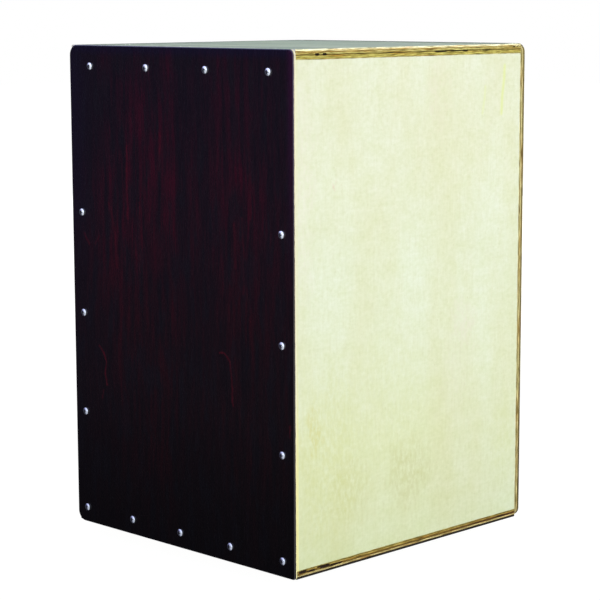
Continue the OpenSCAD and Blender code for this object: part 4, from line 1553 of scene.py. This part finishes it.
def build_snare_wires(side, label, seed):
    soup = Soup()
    for i in range(WIRE_COUNT):
        x = side * SNARE_SIDE + WIRE_PITCH * (i - (WIRE_COUNT - 1) / 2)
        points, faces = coil(x, seed + i)
        soup.add(snare_frame(points, LEAN), faces)
    place(soup.make("snare_coils_" + label, [MAT["spring"]], angle=60), "spring_steel",
          "snare_wires_" + label, body="snare")


def build_snare_screws():
    """The plate screws sit square to the bar's flats."""
    soup = Soup()
    facing = np.array([0.0, -math.cos(LEAN), -math.sin(LEAN)])
    rng = np.random.default_rng(9)
    for middle in (-SNARE_SIDE, SNARE_SIDE):
        for offset in (-PLATE_SCREW_SIDE, PLATE_SCREW_SIDE):
            seat = snare_frame([(middle + offset, -PLATE_FACE, 0.0)], LEAN)[0]
            add_screw(soup, 2.5, 1.6, seat, facing, turn=rng.uniform(0, 90), shank=9.5, pitch=1.0)
    place(soup.make("snare_plate_screws_pan", [MAT["steel"], MAT["recess"]], angle=38),
          "plated_steel", "snare_plate_screws", body="snare")


# ---------------------------------------------------------------- carried-over CAD nodes

# CAD node, material, width of its eased edges in mm
DRESSED = [
    ("front_rail_top", "pine_x", 0.5), ("front_rail_bottom", "pine_x", 0.5),
    ("front_stile_left", "pine_z", 0.5), ("front_stile_right", "pine_z", 0.5),
    ("rear_rail_top", "pine_x2", 0.5), ("rear_rail_bottom", "pine_x2", 0.5),
    ("rear_stile_left", "pine_z2", 0.5), ("rear_stile_right", "pine_z2", 0.5),
    ("snare_block_left", "beech_z", 0.5), ("snare_block_right", "beech_z", 0.5),
    ("snare_bar", "beech_x", 0.5),
    ("snare_plate_left", "plate", 0.12), ("snare_plate_right", "plate", 0.12),
    ("lock_bolt", "steel_dull", 0.3), ("lock_insert", "brass", 0.15), ("lock_pad", "nylon", 0.3),
]


def dress(node, material, ease):
    """Gives a CAD node its material and eased edges, with normals that keep its flats flat."""
    piece = NODES[node]
    piece.data.materials.clear()
    piece.data.materials.append(material)
    weld = piece.modifiers.new("weld", "WELD")
    weld.merge_threshold = 1e-6
    bevel = piece.modifiers.new("ease", "BEVEL")
    bevel.width, bevel.segments, bevel.limit_method = ease * MM, 2, "ANGLE"
    bevel.angle_limit = math.radians(30.0)
    bevel.use_clamp_overlap = True
    bevel.harden_normals = False
    for polygon in piece.data.polygons:
        polygon.use_smooth = True
    weighted = piece.modifiers.new("weighted", "WEIGHTED_NORMAL")
    weighted.keep_sharp = True
    weighted.weight = 60


# ---------------------------------------------------------------- stage, light, camera (metres)


def build_floor():
    """A near-white floor that only the camera and shadows see."""
    half = 9.0
    mesh = bpy.data.meshes.new("studio_floor")
    corners = [(-half, -half, 0), (half, -half, 0), (half, half, 0), (-half, half, 0)]
    mesh.from_pydata(corners, [], [(0, 1, 2, 3)])
    floor = bpy.data.objects.new("studio_floor", mesh)
    bpy.context.scene.collection.objects.link(floor)
    mat = Mat("studio_floor")
    diffuse = mat.node("BsdfDiffuse", {0: (0.10, 0.10, 0.10)})
    away = (mat.x ** 2.0 + mat.y ** 2.0).sqrt()
    glow = mat.node("Emission", {0: (1, 1, 1), 1: away.ease(350.0, 1400.0, low=0.965, high=1.05)})
    mat.finish(mat.node("AddShader", {0: diffuse, 1: glow}))
    mesh.materials.append(mat.material)
    floor.visible_diffuse = False
    floor.visible_glossy = False
    floor.visible_transmission = False


# Colours of the room by direction: (0 at the negative end of the axis to 1, colour or grey).
# From left to right in front of the box: a dark studio, then a big pale screen.
FRONT_WALL = [
    (0.0, (0.042, 0.026, 0.072)), (0.27, (0.045, 0.028, 0.076)), (0.36, (0.80, 0.84, 0.95)),
    (0.50, (2.2, 2.3, 2.45)), (0.75, (1.9, 1.95, 2.0)), (1.0, (0.9, 0.92, 0.95)),
]
# a dark plinth under the screen, which an upright face seen level reflects
PLINTH = [
    (0.0, (0.042, 0.026, 0.072)), (0.5, (0.05, 0.034, 0.080)), (0.75, (0.14, 0.13, 0.17)),
    (1.0, 0.5),
]
BACK_WALL = [
    (0.0, (0.165, 0.25, 0.235)), (0.30, (0.17, 0.26, 0.245)), (0.62, (0.40, 0.43, 0.42)),
    (1.0, (0.70, 0.72, 0.68)),
]
CEILING = [(0.0, (0.75, 0.75, 1.25)), (0.5, (1.6, 1.65, 2.1)), (1.0, (1.3, 1.35, 1.6))]
FLOOR = [
    (0.0, (0.045, 0.042, 0.060)), (0.24, (0.05, 0.046, 0.064)), (0.36, (0.80, 0.82, 0.90)),
    (0.62, (1.0, 1.0, 1.02)), (1.0, (0.5, 0.5, 0.45)),
]
# light without reflections, from below to above
AMBIENT = [(0.0, (0.30, 0.30, 0.28)), (0.5, 0.40), (1.0, (0.42, 0.45, 0.50))]
# Masks: where the plinth, the back wall, the ceiling and the floor show
PLINTH_UP = [(0.0, 1.0), (0.505, 1.0), (0.56, 0.0), (1.0, 0.0)]
PLINTH_ACROSS = [(0.0, 0.0), (0.37, 0.0), (0.43, 1.0), (0.57, 1.0), (0.63, 0.0), (1.0, 0.0)]
BACK_MASK = [(0.0, 0.0), (0.35, 0.0), (0.65, 1.0), (1.0, 1.0)]
CEILING_MASK = [(0.0, 0.0), (0.60, 0.0), (0.74, 1.0), (1.0, 1.0)]
FLOOR_MASK = [(0.0, 1.0), (0.36, 1.0), (0.44, 0.0), (1.0, 0.0)]


def build_world():
    """White to the camera, a room in reflections and a soft even light otherwise."""
    world = bpy.data.worlds.new("studio")
    bpy.context.scene.world = world
    world.use_nodes = True
    graph = Graph(world.node_tree, "World")
    direction = graph.node("TexCoord", output="Generated")
    x, y, z = graph.node("SeparateXYZ", {0: direction}, output=(0, 1, 2))

    def eased(factor, stops):
        return graph.ramp(factor, stops, "EASE")

    across = x * 0.5 + 0.5
    depth = y * 0.5 + 0.5
    height = z * 0.5 + 0.5
    near = eased(across, FRONT_WALL)
    on_plinth = eased(height, PLINTH_UP) * eased(across, PLINTH_ACROSS)
    near = graph.mix(on_plinth, near, eased(across, PLINTH))
    room = graph.mix(eased(depth, BACK_MASK), near, eased(across, BACK_WALL))
    room = graph.mix(eased(height, CEILING_MASK), room, eased(across, CEILING))
    room = graph.mix(eased(height, FLOOR_MASK), room, eased(across, FLOOR))
    reflected = graph.node("Background", {0: room, 1: 1.0})
    soft = graph.node("Background", {0: eased(z * 0.5 + 0.5, AMBIENT), 1: 0.62})
    white = graph.node("Background", {0: (1, 1, 1), 1: 1.0})
    glossy_ray, camera_ray = graph.node("LightPath", output=("Is Glossy Ray", "Is Camera Ray"))
    unseen = graph.node("MixShader", {0: glossy_ray, 1: soft, 2: reflected})
    graph.finish(graph.node("MixShader", {0: camera_ray, 1: unseen, 2: white}))


def area_light(name, at, aim, size, watts, colour):
    """A square light that does not show in reflections."""
    data = bpy.data.lights.new(name, "AREA")
    data.energy, data.color, data.size = watts, colour, size
    light = bpy.data.objects.new(name, data)
    light.location = at
    light.rotation_mode = "QUATERNION"
    light.rotation_quaternion = (Vector(aim) - Vector(at)).to_track_quat("-Z", "Y")
    light.visible_glossy = False
    bpy.context.scene.collection.objects.link(light)


def build_lights():
    area_light("key", at=(3.1, 0.25, 0.80), aim=(0.1, 0.0, 0.30), size=1.5, watts=92,
               colour=(1.0, 0.99, 0.97))
    area_light("front_fill", at=(0.4, -3.0, 1.2), aim=(0, 0, 0.2), size=1.6, watts=30,
               colour=(0.94, 0.96, 1.0))
    area_light("back_fill", at=(-2.1, 2.7, 0.45), aim=(0, 0.1, 0.24), size=1.8, watts=125,
               colour=(1.0, 0.985, 0.95))


CAMERA_AT = (1.3542774, -1.3529097, 0.5187414)
CAMERA_YAW, CAMERA_PITCH, CAMERA_ROLL = -0.7851548, 0.1498104, -0.0030174  # pitch is downwards


def build_camera():
    scene = bpy.context.scene
    data = bpy.data.cameras.new("camera")
    data.sensor_width = 36.0
    data.lens = 117.915876
    data.clip_start, data.clip_end = 0.05, 60.0
    camera = bpy.data.objects.new("camera", data)
    yaw, pitch, roll = CAMERA_YAW, CAMERA_PITCH, CAMERA_ROLL
    forward = Vector((math.sin(yaw) * math.cos(pitch), math.cos(yaw) * math.cos(pitch),
                      -math.sin(pitch)))
    level = Vector((math.cos(yaw), -math.sin(yaw), 0.0))
    right = level * math.cos(roll) + level.cross(forward) * math.sin(roll)
    up = right.cross(forward)
    rows = [(right[i], up[i], -forward[i], CAMERA_AT[i]) for i in range(3)]
    camera.matrix_world = Matrix((*rows, (0, 0, 0, 1)))
    scene.collection.objects.link(camera)
    scene.camera = camera
    scene.view_settings.view_transform = "Standard"
    scene.view_settings.look = "None"
    scene.view_settings.exposure = 0.0
    scene.view_settings.gamma = 1.0


build_shell()
build_screws()
build_feet()
build_washers()
build_snare_wires(-1, "left", seed=240)
build_snare_wires(1, "right", seed=200)
build_snare_screws()
for node_name, material_name, ease_width in DRESSED:
    dress(node_name, MAT[material_name], ease_width)
build_floor()
build_world()
build_lights()
build_camera()

bpy.context.view_layer.update()
